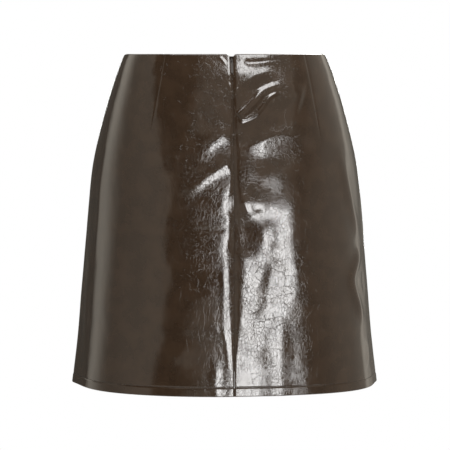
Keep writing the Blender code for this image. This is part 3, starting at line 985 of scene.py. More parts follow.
# ---------------------------------------------------------------- finishes
class Nodes:
    """A short hand for wiring one node tree."""

    def __init__(self, tree: bpy.types.NodeTree) -> None:
        """Keep the tree."""
        self.tree = tree

    def add(self, kind: str, values: dict | None = None, **settings: object) -> bpy.types.Node:
        """Add a node, set its properties, and set or link its inputs.

        Args:
            kind: the node's type name, without its ShaderNode prefix.
            values: inputs by name or number, each a value or another node's output.
            settings: the node's properties.

        Returns:
            The node.
        """
        node = self.tree.nodes.new("ShaderNode" + kind)
        for name, value in settings.items():
            setattr(node, name, value)
        for name, value in (values or {}).items():
            self.put(value, node.inputs[name])
        return node

    def put(self, value: object, given: Socket) -> None:
        """Give an input a value, or link it to another node's output.

        Args:
            value: the value, or the output.
            given: the input.
        """
        if isinstance(value, Socket):
            self.tree.links.new(value, given)
        else:
            given.default_value = value

    def math(self, operation: str, *values: object) -> Socket:
        """Return the result of a Math node on one to three values or sockets."""
        return self.add("Math", dict(enumerate(values)), operation=operation).outputs[0]

    def past(self, value: object, start: object) -> Socket:
        """Return how far a value is past `start`, and 0 before it."""
        return self.math("MAXIMUM", self.math("SUBTRACT", value, start), 0.0)

    def rise(self, value: object, start: float, end: float, low: float = 0.0, high: float = 1.0) -> Socket:
        """Return a smooth rise of a value from `start` to `end`, read as `low` to `high`."""
        wired = {"Value": value, "From Min": start, "From Max": end, "To Min": low, "To Max": high}
        return self.add("MapRange", wired, interpolation_type="SMOOTHSTEP").outputs[0]

    def noise(self, vector: object, scale: float, detail: float = 2.0, kind: str = "2D") -> bpy.types.Node:
        """Return a Noise Texture node."""
        wired = {"Vector": vector, "Scale": scale, "Detail": detail}
        return self.add("TexNoise", wired, noise_dimensions=kind)

    def cells(self, vector: object, scale: float, feature: str) -> bpy.types.Node:
        """Return a Voronoi Texture node."""
        wired = {"Vector": vector, "Scale": scale}
        return self.add("TexVoronoi", wired, voronoi_dimensions="2D", feature=feature)

    def vector(self, operation: str, *values: object, **named: object) -> Socket:
        """Return the vector that a Vector Math node makes of values or sockets."""
        return self.add("VectorMath", {**dict(enumerate(values)), **named}, operation=operation).outputs[0]

    def mix(self, factor: object, first: object, second: object) -> Socket:
        """Return a mix of two colours, each a socket or three shares of red, green and blue.

        Args:
            factor: how much of the second colour there is.
            first: the first colour.
            second: the second colour.

        Returns:
            The mixed colour.
        """
        mixed = self.add("Mix", {"Factor": factor}, data_type="RGBA")
        for name, colour in (("A", first), ("B", second)):
            self.put(colour if isinstance(colour, Socket) else (*colour, 1.0), mixed.inputs[name])
        return mixed.outputs["Result"]


class Finish:
    """A new material, its wiring and its shader."""

    def __init__(self, name: str) -> None:
        """Start the material from a plain shader.

        Args:
            name: the material's name.
        """
        self.material = bpy.data.materials.new(name)
        self.material.use_nodes = True
        self.nodes = Nodes(self.material.node_tree)
        self.shader = self.material.node_tree.nodes["Principled BSDF"]

    def give(self, **inputs: object) -> Material:
        """Wire or set inputs of the shader, named with _ for each space, and return the material.

        Args:
            inputs: a value or an output for each input.

        Returns:
            The material.
        """
        for name, value in inputs.items():
            self.nodes.put(value, self.shader.inputs[name.replace("_", " ")])
        return self.material

    def bump(self, height: object, distance: float) -> Socket:
        """Return the normal of a relief."""
        return self.nodes.add("Bump", {"Strength": 1.0, "Distance": distance, "Height": height}).outputs[0]


@dataclass(frozen=True)
class Drift:
    """A push about by noise: the noise's scale in cells to the metre, and the push's whole span."""

    scale: float
    span: float


@dataclass(frozen=True)
class Crinkle:
    """The pattern of the leather's crinkle: scales in cells to the metre, widths in cells."""

    bend: Drift = Drift(70.0, 0.005)
    sway: Drift = Drift(16.0, 0.030)
    curl: Drift = Drift(420.0, 0.0034)
    patch_scale: float = 34.0
    patch_edge: Point = (0.36, 0.62)
    patch_least: float = 0.20
    turn_scale: float = 22.0
    turn_edge: Point = (0.44, 0.56)
    net_scale: float = 290.0
    net_width: float = 0.120
    net_stretch: float = 0.65
    broad_scale: float = 130.0
    broad_stretch: float = 0.5
    upright_hair: tuple[float, float, Point] = (300.0, 0.050, (1.0, 0.20))
    slanting_hair: tuple[float, float, Point] = (200.0, 0.040, (0.5, 1.0))
    crumple_scale: float = 110.0
    crack_scale: float = 80.0
    crack_width: float = 0.040
    crack_patch_scale: float = 50.0
    crack_patch_edge: Point = (0.50, 0.58)

    DEPTHS = ("Net", "Hair", "Tilt", "Crumple", "Cracks")

    def build(self) -> bpy.types.NodeTree:
        """Build the crinkle: tilted facets, the net of creases round them, hairs and cracks.

        Returns:
            A group that reads a place on the cloth in metres and puts out a height in metres, a
            mask of the creased film and a mask of the cracks.
        """
        tree = bpy.data.node_groups.new("crinkle", "ShaderNodeTree")
        tree.interface.new_socket(name="Place", in_out="INPUT", socket_type="NodeSocketVector")
        for way, names in (("INPUT", ("Strength", *self.DEPTHS)), ("OUTPUT", ("Height", "Creased", "Crack"))):
            for name in names:
                tree.interface.new_socket(name=name, in_out=way, socket_type="NodeSocketFloat")
        given, result = tree.nodes.new("NodeGroupInput"), tree.nodes.new("NodeGroupOutput")
        nodes, place = Nodes(tree), given.outputs["Place"]
        bent = self.pushed(nodes, place, self.bend)
        curled = self.pushed(nodes, bent, self.curl)
        net, hair = self.net(nodes, place, curled), self.hair(nodes, place)
        network = self.creases(nodes, curled, self.crack_scale, self.crack_width)
        cracked = self.patches(nodes, place, self.crack_patch_scale, self.crack_patch_edge)
        crack = nodes.math("MULTIPLY", network, cracked)
        crumpled = self.stretched(nodes, bent, (1.0, self.broad_stretch))
        crumple = nodes.noise(crumpled, self.crumple_scale, 1.0).outputs[0]
        height = nodes.math("MULTIPLY", crumple, given.outputs["Crumple"])
        height = nodes.math("MULTIPLY_ADD", self.tilt(nodes, curled), given.outputs["Tilt"], height)
        for dent, depth in ((net, "Net"), (hair, "Hair"), (crack, "Cracks")):
            height = nodes.math("SUBTRACT", height, nodes.math("MULTIPLY", dent, given.outputs[depth]))
        creased = nodes.math("MAXIMUM", nodes.math("MAXIMUM", net, hair), crack)
        for name, value in (("Height", height), ("Creased", creased), ("Crack", crack)):
            nodes.put(nodes.math("MULTIPLY", value, given.outputs["Strength"]), result.inputs[name])
        return tree

    def net(self, nodes: Nodes, place: object, curled: object) -> Socket:
        """Return the net of fine creases, weaker outside its patches.

        Args:
            nodes: the group's wiring.
            place: places on the cloth.
            curled: the same places, pushed about.

        Returns:
            The mask.
        """
        drawn = self.stretched(nodes, curled, (1.0, self.net_stretch))
        net = self.creases(nodes, drawn, self.net_scale, self.net_width)
        patch = self.patches(nodes, place, self.patch_scale, self.patch_edge)
        share = nodes.math("MULTIPLY_ADD", patch, 1.0 - self.patch_least, self.patch_least)
        return nodes.math("MULTIPLY", net, share)

    def tilt(self, nodes: Nodes, curled: object) -> Socket:
        """Return the height over the small facets and the broad ones.

        Args:
            nodes: the group's wiring.
            curled: places on the cloth, pushed about.

        Returns:
            The height.
        """
        small = self.facets(nodes, self.stretched(nodes, curled, (1.0, self.net_stretch)), self.net_scale)
        broad = self.facets(nodes, self.stretched(nodes, curled, (1.0, self.broad_stretch)), self.broad_scale)
        return nodes.math("ADD", small, broad)

    def hair(self, nodes: Nodes, place: object) -> Socket:
        """Return long wandering lines, upright in some patches and slanting in the others.

        Args:
            nodes: the group's wiring.
            place: places on the cloth.

        Returns:
            The mask.
        """
        swayed = self.pushed(nodes, place, self.sway)
        lines = []
        for scale, width, stretch in (self.upright_hair, self.slanting_hair):
            field = nodes.noise(self.stretched(nodes, swayed, stretch), scale).outputs[0]
            off_line = nodes.math("ABSOLUTE", nodes.math("SUBTRACT", field, 0.5))
            lines.append(nodes.rise(off_line, 0.0, width, 1.0, 0.0))
        turn = self.patches(nodes, place, self.turn_scale, self.turn_edge)
        upright = nodes.math("MULTIPLY", lines[0], turn)
        return nodes.math("MULTIPLY_ADD", lines[1], nodes.math("SUBTRACT", 1.0, turn), upright)

    @staticmethod
    def patches(nodes: Nodes, place: object, scale: float, edge: Point) -> Socket:
        """Return 1 inside soft patches and 0 outside."""
        return nodes.rise(nodes.noise(place, scale).outputs[0], *edge)

    @staticmethod
    def facets(nodes: Nodes, place: object, scale: float) -> Socket:
        """Return the height over little facets, each a plane tilted its own way by up to 1 in 2.

        Args:
            nodes: the group's wiring.
            place: places on the cloth.
            scale: facets to the metre.

        Returns:
            The height.
        """
        cells = nodes.cells(place, scale, "F1")
        away = nodes.vector("SUBTRACT", place, cells.outputs["Position"])
        slope = nodes.vector("SUBTRACT", cells.outputs["Color"], (0.5, 0.5, 0.5))
        return nodes.add("VectorMath", {0: away, 1: slope}, operation="DOT_PRODUCT").outputs["Value"]

    @staticmethod
    def stretched(nodes: Nodes, place: object, stretch: Point) -> Socket:
        """Return a place scaled across and down, so that a pattern read there is drawn out."""
        return nodes.vector("MULTIPLY", place, (*stretch, 1.0))

    @staticmethod
    def pushed(nodes: Nodes, place: object, drift: Drift) -> Socket:
        """Return a place pushed about by noise.

        Args:
            nodes: the group's wiring.
            place: places on the cloth.
            drift: the push.

        Returns:
            The pushed places.
        """
        noise = nodes.noise(place, drift.scale).outputs["Color"]
        centred = nodes.vector("SUBTRACT", noise, (0.5, 0.5, 0.5))
        return nodes.vector("ADD", place, nodes.vector("SCALE", centred, Scale=drift.span))

    @staticmethod
    def creases(nodes: Nodes, place: object, scale: float, width: float) -> Socket:
        """Return 1 on the edges between cells, falling to 0 at `width` from them."""
        off_edge = nodes.cells(place, scale, "DISTANCE_TO_EDGE").outputs["Distance"]
        return nodes.rise(off_edge, 0.0, width, 1.0, 0.0)


@dataclass(frozen=True)
class PatentLeather:
    """Glossy crinkled leather: a dark brown film over brown leather, with painted shade darkening its cracks.
    """

    crinkle: bpy.types.NodeTree
    colour: Colour = (0.0205, 0.0125, 0.0077)
    lighter: float = 1.25
    mottle_scale: float = 45.0
    mottle_edge: Point = (0.35, 0.7)
    crack_shade_colour: Colour = (0.010, 0.0065, 0.0045)
    crack_shade_share: float = 0.4
    roughness: Point = (0.06, 0.14)
    net: float = 0.000060
    hair: float = 0.000040
    tilt: float = 0.05
    crumple: float = 0.00006
    cracks: float = 0.000090

    def build(self) -> Material:
        """Make the material.

        Returns:
            The leather.
        """
        finish = Finish("patent_leather")
        nodes = finish.nodes
        place = nodes.add("UVMap", uv_map="cloth").outputs[0]
        strength = nodes.add("Attribute", attribute_name="crinkle").outputs["Fac"]
        depths = {name: getattr(self, name.lower()) for name in Crinkle.DEPTHS}
        relief = nodes.add("Group", {"Place": place, "Strength": strength, **depths}, node_tree=self.crinkle)
        mottle = nodes.rise(nodes.noise(place, self.mottle_scale, 3.0).outputs[0], *self.mottle_edge)
        tone = nodes.mix(mottle, self.colour, [self.lighter * share for share in self.colour])
        # Painted shade: the base colour is darkened along the cracks, where the creases would trap light.
        crack = nodes.math("MULTIPLY", relief.outputs["Crack"], self.crack_shade_share)
        return finish.give(
            Base_Color=nodes.mix(crack, tone, self.crack_shade_colour),
            Roughness=nodes.rise(relief.outputs["Creased"], 0.0, 1.0, *self.roughness),
            Normal=finish.bump(relief.outputs["Height"], 1.0),
            IOR=1.5,
        )


@dataclass(frozen=True)
class Woven:
    """A matt woven cloth, such as the leather's backing or the zip's tapes."""

    name: str
    colour: Colour
    thread: float
    relief: float
    roughness: float = 0.85
    sheen: float = 0.25
    shades: Point = (0.55, 1.2)
    fuzz_scale: float = 900.0
    fuzz_shades: Point = (0.8, 1.2)

    def build(self) -> Material:
        """Make the material.

        Returns:
            The woven cloth.
        """
        finish = Finish(self.name)
        nodes = finish.nodes
        place = nodes.add("UVMap", uv_map="cloth").outputs[0]
        parts = nodes.add("SeparateXYZ", {0: place})
        turns = 2 * math.pi / self.thread
        warp, weft = (nodes.math("SINE", nodes.math("MULTIPLY", parts.outputs[k], turns)) for k in (0, 1))
        weave = nodes.math("MULTIPLY", warp, weft)
        fuzz = nodes.rise(nodes.noise(place, self.fuzz_scale, 3.0).outputs[0], 0.3, 0.7, *self.fuzz_shades)
        shade = nodes.math("MULTIPLY", nodes.rise(weave, -1.0, 1.0, *self.shades), fuzz)
        return finish.give(
            Base_Color=nodes.vector("SCALE", self.colour, Scale=shade),
            Normal=finish.bump(weave, self.relief),
            Roughness=self.roughness,
            Specular_IOR_Level=self.sheen,
        )


@dataclass(frozen=True)
class Thread:
    """Corded sewing thread."""

    colour: Colour = (0.016, 0.010, 0.007)
    twist: float = 1600.0
    shades: Point = (0.6, 1.4)
    roughness: float = 0.6

    def build(self) -> Material:
        """Make the material.

        Returns:
            The thread's finish.
        """
        finish = Finish("thread")
        nodes = finish.nodes
        ply = nodes.noise(nodes.add("TexCoord").outputs["Object"], self.twist, 1.0).outputs[0]
        shade = nodes.rise(ply, 0.3, 0.7, *self.shades)
        tint = nodes.vector("SCALE", self.colour, Scale=shade)
        return finish.give(Base_Color=tint, Roughness=self.roughness)


@dataclass(frozen=True)
class Enamel:
    """A smooth enamel or nylon, a little clouded."""

    name: str
    colour: Colour
    roughness: Point
    metallic: float
    cloud_scale: float = 700.0
    shades: Point = (0.8, 1.3)

    def build(self) -> Material:
        """Make the material.

        Returns:
            The enamel.
        """
        finish = Finish(self.name)
        nodes = finish.nodes
        place = nodes.add("TexCoord").outputs["Object"]
        cloud = nodes.noise(place, self.cloud_scale, 3.0, "3D").outputs[0]
        shade = nodes.rise(cloud, 0.3, 0.7, *self.shades)
        return finish.give(
            Base_Color=nodes.vector("SCALE", self.colour, Scale=shade),
            Roughness=nodes.rise(cloud, 0.3, 0.7, *self.roughness),
            Metallic=self.metallic,
        )


# ---------------------------------------------------------------- the studio
@dataclass(frozen=True)
class Camera:
    """The camera, level with the waist and a little to the left of square."""

    azimuth: float = -5.3
    distance: float = 3.19
    pitch: float = 3.908
    lens: float = 200.24
    sensor: float = 36.0

    def build(self) -> None:
        """Make the camera and use it."""
        data = bpy.data.cameras.new("camera")
        data.lens, data.sensor_width = self.lens, self.sensor
        made = placed("camera", data)
        turn = math.radians(self.azimuth)
        made.location = (self.distance * math.sin(turn), -self.distance * math.cos(turn), 0.0)
        made.rotation_euler = (math.radians(90.0 - self.pitch), 0.0, turn)
        bpy.context.scene.camera = made


@dataclass(frozen=True)
class Softbox:
    """A rectangular light that faces the skirt, placed by its bearings from it in degrees."""

    name: str
    azimuth: Point
    elevation: Point
    brightness: float
    distance: float = 2.6
    target_drop: float = 0.21

    def build(self) -> None:
        """Make the light."""
        data = bpy.data.lights.new(self.name, "AREA")
        made = placed(self.name, data)
        turn = math.radians(sum(self.azimuth) / 2)
        rise = math.radians(sum(self.elevation) / 2)
        level = math.cos(rise)
        away = Vector((math.sin(turn) * level, -math.cos(turn) * level, math.sin(rise)))
        data.shape = "RECTANGLE"
        half_wide = math.radians(self.azimuth[1] - self.azimuth[0]) / 2
        half_high = math.radians(self.elevation[1] - self.elevation[0]) / 2
        data.size = 2 * self.distance * math.tan(half_wide) * level
        data.size_y = 2 * self.distance * math.tan(half_high)
        data.energy = self.brightness * math.pi * data.size * data.size_y
        made.location = away * self.distance - Vector((0.0, 0.0, self.target_drop))
        made.rotation_euler = away.to_track_quat("Z", "Y").to_euler()
        made.visible_camera = False


@dataclass(frozen=True)
class Stretch:
    """How bright the studio's surroundings are at one bearing from the camera, in degrees."""

    bearing: float
    brightness: float


SURROUNDINGS = (
    Stretch(-180, 0.14), Stretch(-150, 0.13), Stretch(-132, 0.16), Stretch(-122, 1.10),
    Stretch(-112, 1.50), Stretch(-102, 1.40), Stretch(-90, 0.85), Stretch(-78, 0.52),
    Stretch(-66, 0.52), Stretch(-54, 0.60), Stretch(-40, 0.68), Stretch(-24, 0.72),
    Stretch(-4, 0.58), Stretch(10, 0.60), Stretch(25, 0.72), Stretch(31, 0.34),
    Stretch(38, 0.22), Stretch(45, 0.26), Stretch(51, 0.38), Stretch(58, 0.48),
    Stretch(68, 0.60), Stretch(78, 0.70), Stretch(94, 0.70), Stretch(112, 0.74),
    Stretch(124, 0.70), Stretch(131, 1.30), Stretch(137, 1.20), Stretch(144, 0.70),
    Stretch(153, 0.48), Stretch(160, 0.22), Stretch(168, 0.14), Stretch(180, 0.14),
)


@dataclass(frozen=True)
class Depths:
    """The unlit depths round the camera, in degrees: wider higher up, and rounded below."""

    brightness: float = 0.02
    left: float = -19.0
    right: float = 40.0
    low: float = -8.5
    high: float = 66.0
    left_edge: float = 2.5
    left_spread: float = 1.4
    left_spread_from: float = 6.0
    right_edge: float = 3.0
    right_pull: float = 6.0
    right_pull_span: Point = (4.0, 12.0)
    low_edge: float = 1.0
    low_slope: float = 0.25
    low_slope_from: float = -8.0
    high_edge: float = 5.0

    def mask(self, nodes: Nodes, bearing: Socket, height: Socket) -> Socket:
        """Return 1 inside the depths.

        Args:
            nodes: the world's wiring.
            bearing: the bearing from the camera, in degrees.
            height: the elevation, in degrees.

        Returns:
            The mask.
        """
        start, end = self.right_pull_span
        above = nodes.past(height, self.left_spread_from)
        left = nodes.math("MULTIPLY_ADD", above, self.left_spread, nodes.math("SUBTRACT", bearing, self.left))
        higher = nodes.past(nodes.math("MINIMUM", height, end), start)
        right = nodes.math("SUBTRACT", self.right, bearing)
        right = nodes.math("MULTIPLY_ADD", higher, -self.right_pull, right)
        rounded = nodes.past(bearing, self.low_slope_from)
        low = nodes.math("MULTIPLY_ADD", rounded, -self.low_slope, nodes.math("SUBTRACT", height, self.low))
        inside = nodes.rise(height, self.high - self.high_edge, self.high + self.high_edge, 1.0, 0.0)
        for off_edge, soft in ((left, self.left_edge), (right, self.right_edge), (low, self.low_edge)):
            inside = nodes.math("MULTIPLY", inside, nodes.rise(off_edge, -soft, soft))
        return inside


@dataclass
class Studio:
    """A pale studio: white behind the skirt, with unlit depths where the camera stands."""

    camera: Camera = Camera()
    softboxes: tuple = (
        Softbox("key_light", (7.5, 22.5), (-15.5, 2.5), 14.0),
        Softbox("key_rim", (4.5, 26.5), (-19.0, 6.5), 5.0, distance=2.66),
        Softbox("top_bank", (9.5, 37.0), (42.0, 65.0), 15.0, distance=2.2),
        Softbox("overhead", (-70.0, 10.0), (62.0, 80.0), 12.0, distance=2.0),
        Softbox("front_key", (146.0, 166.0), (21.0, 48.0), 10.0),
        Softbox("front_low", (166.0, 184.0), (-12.0, 10.0), 10.0),
    )
    tint: Colour = (1.0, 0.94, 0.82)
    draw_from: float = 4.0
    drawn_in: float = 1.1
    depths: Depths = Depths()
    floor_level: float = -1.02
    floor_radius: float = 2.4
    floor_fade: Point = (0.45, 0.98)
    floor_grey: float = 0.86
    floor_roughness: float = 0.7

    def build(self) -> None:
        """Make the camera, the lights, the surroundings and the floor."""
        self.camera.build()
        for softbox in self.softboxes:
            softbox.build()
        self.surroundings()
        self.floor()
        bpy.context.scene.view_settings.view_transform = "Standard"

    def surroundings(self) -> None:
        """Make the world: white to the camera, and a lit studio round the skirt."""
        world = bpy.data.worlds.new("studio")
        bpy.context.scene.world = world
        world.use_nodes = True
        world.node_tree.nodes.clear()
        nodes = Nodes(world.node_tree)
        way = nodes.add("SeparateXYZ", {0: nodes.add("TexCoord").outputs["Generated"]})
        x, y, z = way.outputs
        height = nodes.math("DEGREES", nodes.math("ARCSINE", z))
        turn = nodes.math("DEGREES", nodes.math("ARCTAN2", x, nodes.math("MULTIPLY", y, -1.0)))
        bearing = nodes.math("SUBTRACT", turn, self.camera.azimuth)
        light = self.lit_round(nodes, bearing, height)
        dimmed = nodes.math("SUBTRACT", light, self.depths.brightness)
        dark = nodes.math("MULTIPLY", self.depths.mask(nodes, bearing, height), dimmed)
        seen = nodes.add("LightPath").outputs["Is Camera Ray"]
        lit = {"Factor": seen, "A": nodes.math("SUBTRACT", light, dark), "B": 1.0}
        strength = nodes.add("Mix", lit, data_type="FLOAT").outputs[0]
        colour = nodes.mix(seen, self.tint, (1.0, 1.0, 1.0))
        glow = nodes.add("Background", {"Color": colour, "Strength": strength})
        out = nodes.add("OutputWorld", {"Surface": glow.outputs[0]})
        out.is_active_output = True

    def lit_round(self, nodes: Nodes, bearing: Socket, height: Socket) -> Socket:
        """Return how bright the studio is, its lit stretches leaning together higher up.

        Args:
            nodes: the world's wiring.
            bearing: the bearing from the camera, in degrees.
            height: the elevation, in degrees.

        Returns:
            The brightness.
        """
        drawn_in = nodes.math("MULTIPLY", nodes.past(height, self.draw_from), self.drawn_in)
        read_at = nodes.past(nodes.math("ABSOLUTE", bearing), drawn_in)
        read_at = nodes.math("MULTIPLY", read_at, nodes.math("SIGN", bearing))
        ramp = nodes.add("ValToRGB", {"Fac": nodes.math("MULTIPLY_ADD", read_at, 1 / 360, 0.5)})
        stops = ramp.color_ramp.elements
        brightest = max(stretch.brightness for stretch in SURROUNDINGS)
        for stretch in SURROUNDINGS[1:-1]:
            stops.new(stretch.bearing / 360 + 0.5)
        for stop, stretch in zip(stops, SURROUNDINGS):
            stop.position = stretch.bearing / 360 + 0.5
            stop.color = (*[stretch.brightness / brightest] * 3, 1.0)
        share = nodes.add("SeparateColor", {0: ramp.outputs[0]}).outputs[0]
        return nodes.math("MULTIPLY", share, brightest)

    def floor(self) -> None:
        """Make the pale floor, far below the hanging skirt, fading out at its rim."""
        deselect_all()
        bpy.ops.mesh.primitive_circle_add(
            vertices=96, radius=self.floor_radius, fill_type="NGON", location=(0.0, 0.0, self.floor_level)
        )
        made = bpy.context.object
        made.name = "floor"
        finish = Finish("pale_floor")
        place = finish.nodes.add("TexCoord").outputs["Object"]
        reach = finish.nodes.add("VectorMath", {0: place}, operation="LENGTH").outputs["Value"]
        start, end = (share * self.floor_radius for share in self.floor_fade)
        fade = finish.nodes.rise(reach, start, end, 1.0, 0.0)
        grey = (self.floor_grey, self.floor_grey, self.floor_grey, 1.0)
        made.data.materials.append(finish.give(Alpha=fade, Base_Color=grey, Roughness=self.floor_roughness))


# ---------------------------------------------------------------- hard pieces
class Part(Enum):
    """What the bench picks on a piece."""

    CORNER = "VERT"
    FACE = "FACE"


class Bench:
    """One hard piece on the bench: a block or a ring, worked with edit-mode operators."""

    RING = {"major_segments": 12, "minor_segments": 6, "major_radius": 0.39, "minor_radius": 0.11}
    RING_CORNERS = 12 * 6

    def __init__(self, name: str, size: Size, ring: bool = False) -> None:
        """Start from a block of that size, or from a ring stretched to it.

        Args:
            name: the piece's name.
            size: its size along X, Y and Z.
            ring: whether it starts as a ring.
        """
        deselect_all()
        if ring:
            bpy.ops.mesh.primitive_torus_add(**self.RING)
        else:
            bpy.ops.mesh.primitive_cube_add(size=1.0)
        self.piece = bpy.context.object
        self.piece.name = name
        self.piece.scale = size
        bpy.ops.object.transform_apply(location=False, rotation=False, scale=True)

    def pick(self, part: Part, wanted: Callable[[Vector], bool]) -> None:
        """Select the corners or faces whose middle passes a test.

        Args:
            part: what is selected.
            wanted: the test, on a place in the piece's own axes.
        """
        bpy.ops.object.mode_set(mode="EDIT")
        bpy.ops.mesh.select_mode(type=part.value)
        bpy.ops.mesh.select_all(action="DESELECT")
        bpy.ops.object.mode_set(mode="OBJECT")
        mesh = self.piece.data
        if part is Part.CORNER:
            for vertex in mesh.vertices:
                vertex.select = bool(wanted(vertex.co))
        else:
            for face in mesh.polygons:
                face.select = bool(wanted(face.center))
        bpy.ops.object.mode_set(mode="EDIT")

    def cut_across(self, axis: int, *levels: float) -> None:
        """Cut the whole piece by planes square to an axis.

        Args:
            axis: 0, 1 or 2 for X, Y or Z.
            levels: where each plane crosses the axis.
        """
        for level in levels:
            self.pick(Part.CORNER, lambda place: True)
            place, normal = [0.0, 0.0, 0.0], [0.0, 0.0, 0.0]
            place[axis], normal[axis] = level, 1.0
            bpy.ops.mesh.bisect(plane_co=place, plane_no=normal)

    def resize(self, value: Size, centre: Size = (0.0, 0.0, 0.0)) -> None:
        """Resize what is selected about a centre."""
        bpy.ops.transform.resize(value=value, center_override=centre)

    def soften(self, width: float, segments: int = 2, angle: float = 40.0) -> Piece:
        """Round the piece's edges, shade it, and return it in object mode.

        Args:
            width: the rounding's width.
            segments: its steps.
            angle: the least angle of an edge that is rounded, in degrees.

        Returns:
            The piece.
        """
        bpy.ops.object.mode_set(mode="OBJECT")
        bevel = self.piece.modifiers.new("rounded", "BEVEL")
        bevel.width, bevel.segments = width, segments
        bevel.limit_method, bevel.angle_limit = "ANGLE", math.radians(angle)
        bpy.ops.object.modifier_apply(modifier=bevel.name)
        bpy.ops.object.shade_smooth_by_angle(angle=math.radians(angle))
        return self.piece


def deselect_all() -> None:
    """Deselect everything, CAD nodes included."""
    bpy.ops.object.select_all(action="DESELECT")


def seat(piece: Piece, place: Matrix, finish: Material) -> Piece:
    """Move a finished piece's mesh to its place, and give it its finish.

    Args:
        piece: the piece.
        place: its place and its own axes there.
        finish: its finish.

    Returns:
        The piece.
    """
    piece.data.transform(place)
    piece.data.materials.clear()
    piece.data.materials.append(finish)
    return piece


def join(*pieces: Piece) -> Piece:
    """Join pieces into the first of them.

    Args:
        pieces: the pieces.

    Returns:
        The joined piece.
    """
    deselect_all()
    for piece in pieces:
        piece.select_set(True)
    bpy.context.view_layer.objects.active = pieces[0]
    bpy.ops.object.join()
    return pieces[0]


def copies(name: str, model: Piece, frames: tuple, finish: Material) -> Piece:
    """Copy one small piece to many places, as one object, and take the model away.

    Args:
        name: the new object's name.
        model: the piece, with X along, Y down and Z out of the cloth.
        frames: the places, and the directions along, down and out at each.
        finish: the finish.

    Returns:
        The object.
    """
    shape = np.array([vertex.co[:] for vertex in model.data.vertices])
    faces = [list(face.vertices) for face in model.data.polygons]
    places, along, down, out = frames
    axes = np.stack([along, down, out], axis=1)
    points = places[:, None, :] + np.einsum("vk,nkc->nvc", shape, axes)
    many = [[v + copy * len(shape) for v in face] for copy in range(len(places)) for face in faces]
    made = mesh_object(name, points.reshape(-1, 3), many, (finish,))
    bpy.data.objects.remove(model)
    return made


# ---------------------------------------------------------------- the zip
@dataclass(frozen=True)
class ZipSizes:
    """Sizes of the concealed zip, in metres."""

    tape_thickness: float = 0.0006
    tape_top: float = 0.0045
    tape_end: float = 0.1960
    tape_width: float = 0.0120
    coil_depth: float = 0.0015
    tape_splay: float = 0.0011
    tape_gap: float = 0.0006
    tape_joining: float = 0.020
    slider_drop: float = 0.0075
    slider_size: Size = (0.0070, 0.0080, 0.0020)
    lug_thickness: float = 0.0010
    lug_rod: float = 0.0008
    lug_half: float = 0.0014
    lug_rise: float = 0.0015
    pull_length: float = 0.0175
    pull_width: float = 0.0032
    pull_thickness: float = 0.0008
    pull_eye: float = 0.0031
    down_step: float = 0.0020

    def tape_edge(self, drop: Array) -> Array:
        """Return a tape edge's distance from the seam line, splayed beside the slider.

        Args:
            drop: distances below the waist edge.

        Returns:
            The distances.
        """
        start = self.slider_drop + self.slider_size[1] / 2
        share = np.clip((drop - start) / self.tape_joining, 0.0, 1.0)
        return self.tape_splay + (self.tape_gap - self.tape_splay) * share


@dataclass(frozen=True)
class Tooth:
    """One turn of the coil's wire, in metres, with its slant in degrees and its widths as shares."""

    pitch: float = 0.0013
    size: Size = (0.0021, 0.0013, 0.0021)
    flattened: Size = (1.0, 0.62, 0.72)
    slant: float = 14.0
    head: float = 0.0006
    head_middle: float = 0.0010
    head_swell: Size = (1.0, 1.25, 1.15)
    past_edge: float = 0.0005
    least: float = 0.0001
    reach: float = 0.00105
    depth: float = 0.00055

    def build(self, side: int) -> Piece:
        """Model the turn for one side: a ring on its edge, with a plumper head.

        Args:
            side: 1 for +X, -1 for -X.

        Returns:
            The turn.
        """
        bench = Bench("tooth", self.size, ring=True)
        bench.pick(Part.CORNER, lambda place: True)
        bpy.ops.transform.rotate(value=math.radians(90.0), orient_axis="X", center_override=(0, 0, 0))
        bench.pick(Part.CORNER, lambda place: place.x * side < -self.head)
        bench.resize(self.head_swell, (-side * self.head_middle, 0.0, 0.0))
        bpy.ops.object.mode_set(mode="OBJECT")
        slant = Matrix.Rotation(math.radians(self.slant), 4, "Z")
        bench.piece.data.transform(slant @ Matrix.Diagonal((*self.flattened, 1.0)))
        return bench.piece


@dataclass(frozen=True)
class SliderShape:
    """How the slider is worked, in metres, with its widths and rows as shares of the body."""

    cut_row: float = 0.30
    end_row: float = 0.40
    lower_share: float = 0.66
    upper_share: float = 0.80
    back_rim: float = 0.0009
    back_hollow: float = 0.0005
    flank_rim: float = 0.0004
    flank_hollow: float = 0.0003
    rounding: float = 0.00030
    behind_coil: float = 0.0003
    lug_root: float = 0.0006
    lug_crown: float = 0.0002
    lug_crown_share: float = 0.62
    lug_rounding: float = 0.00018


@dataclass(frozen=True)
class PullShape:
    """How the pull tab is worked, in metres: rows below the pivot, and its widths as shares.

    The shares are those above and below the pivot's bar, at the eye's foot, and at the last row
    and the tip.
    """

    rows: tuple = (0.0043, 0.0090, 0.0125, 0.0155, 0.0168)
    shares: tuple = (0.80, 0.84, 0.86, 0.72, 0.45)
    eye_clear: float = 0.0003
    hollow_rows: Point = (0.0043, 0.0155)
    hollow_rim: float = 0.00012
    hollow: float = 0.00018
    rounding: float = 0.00022


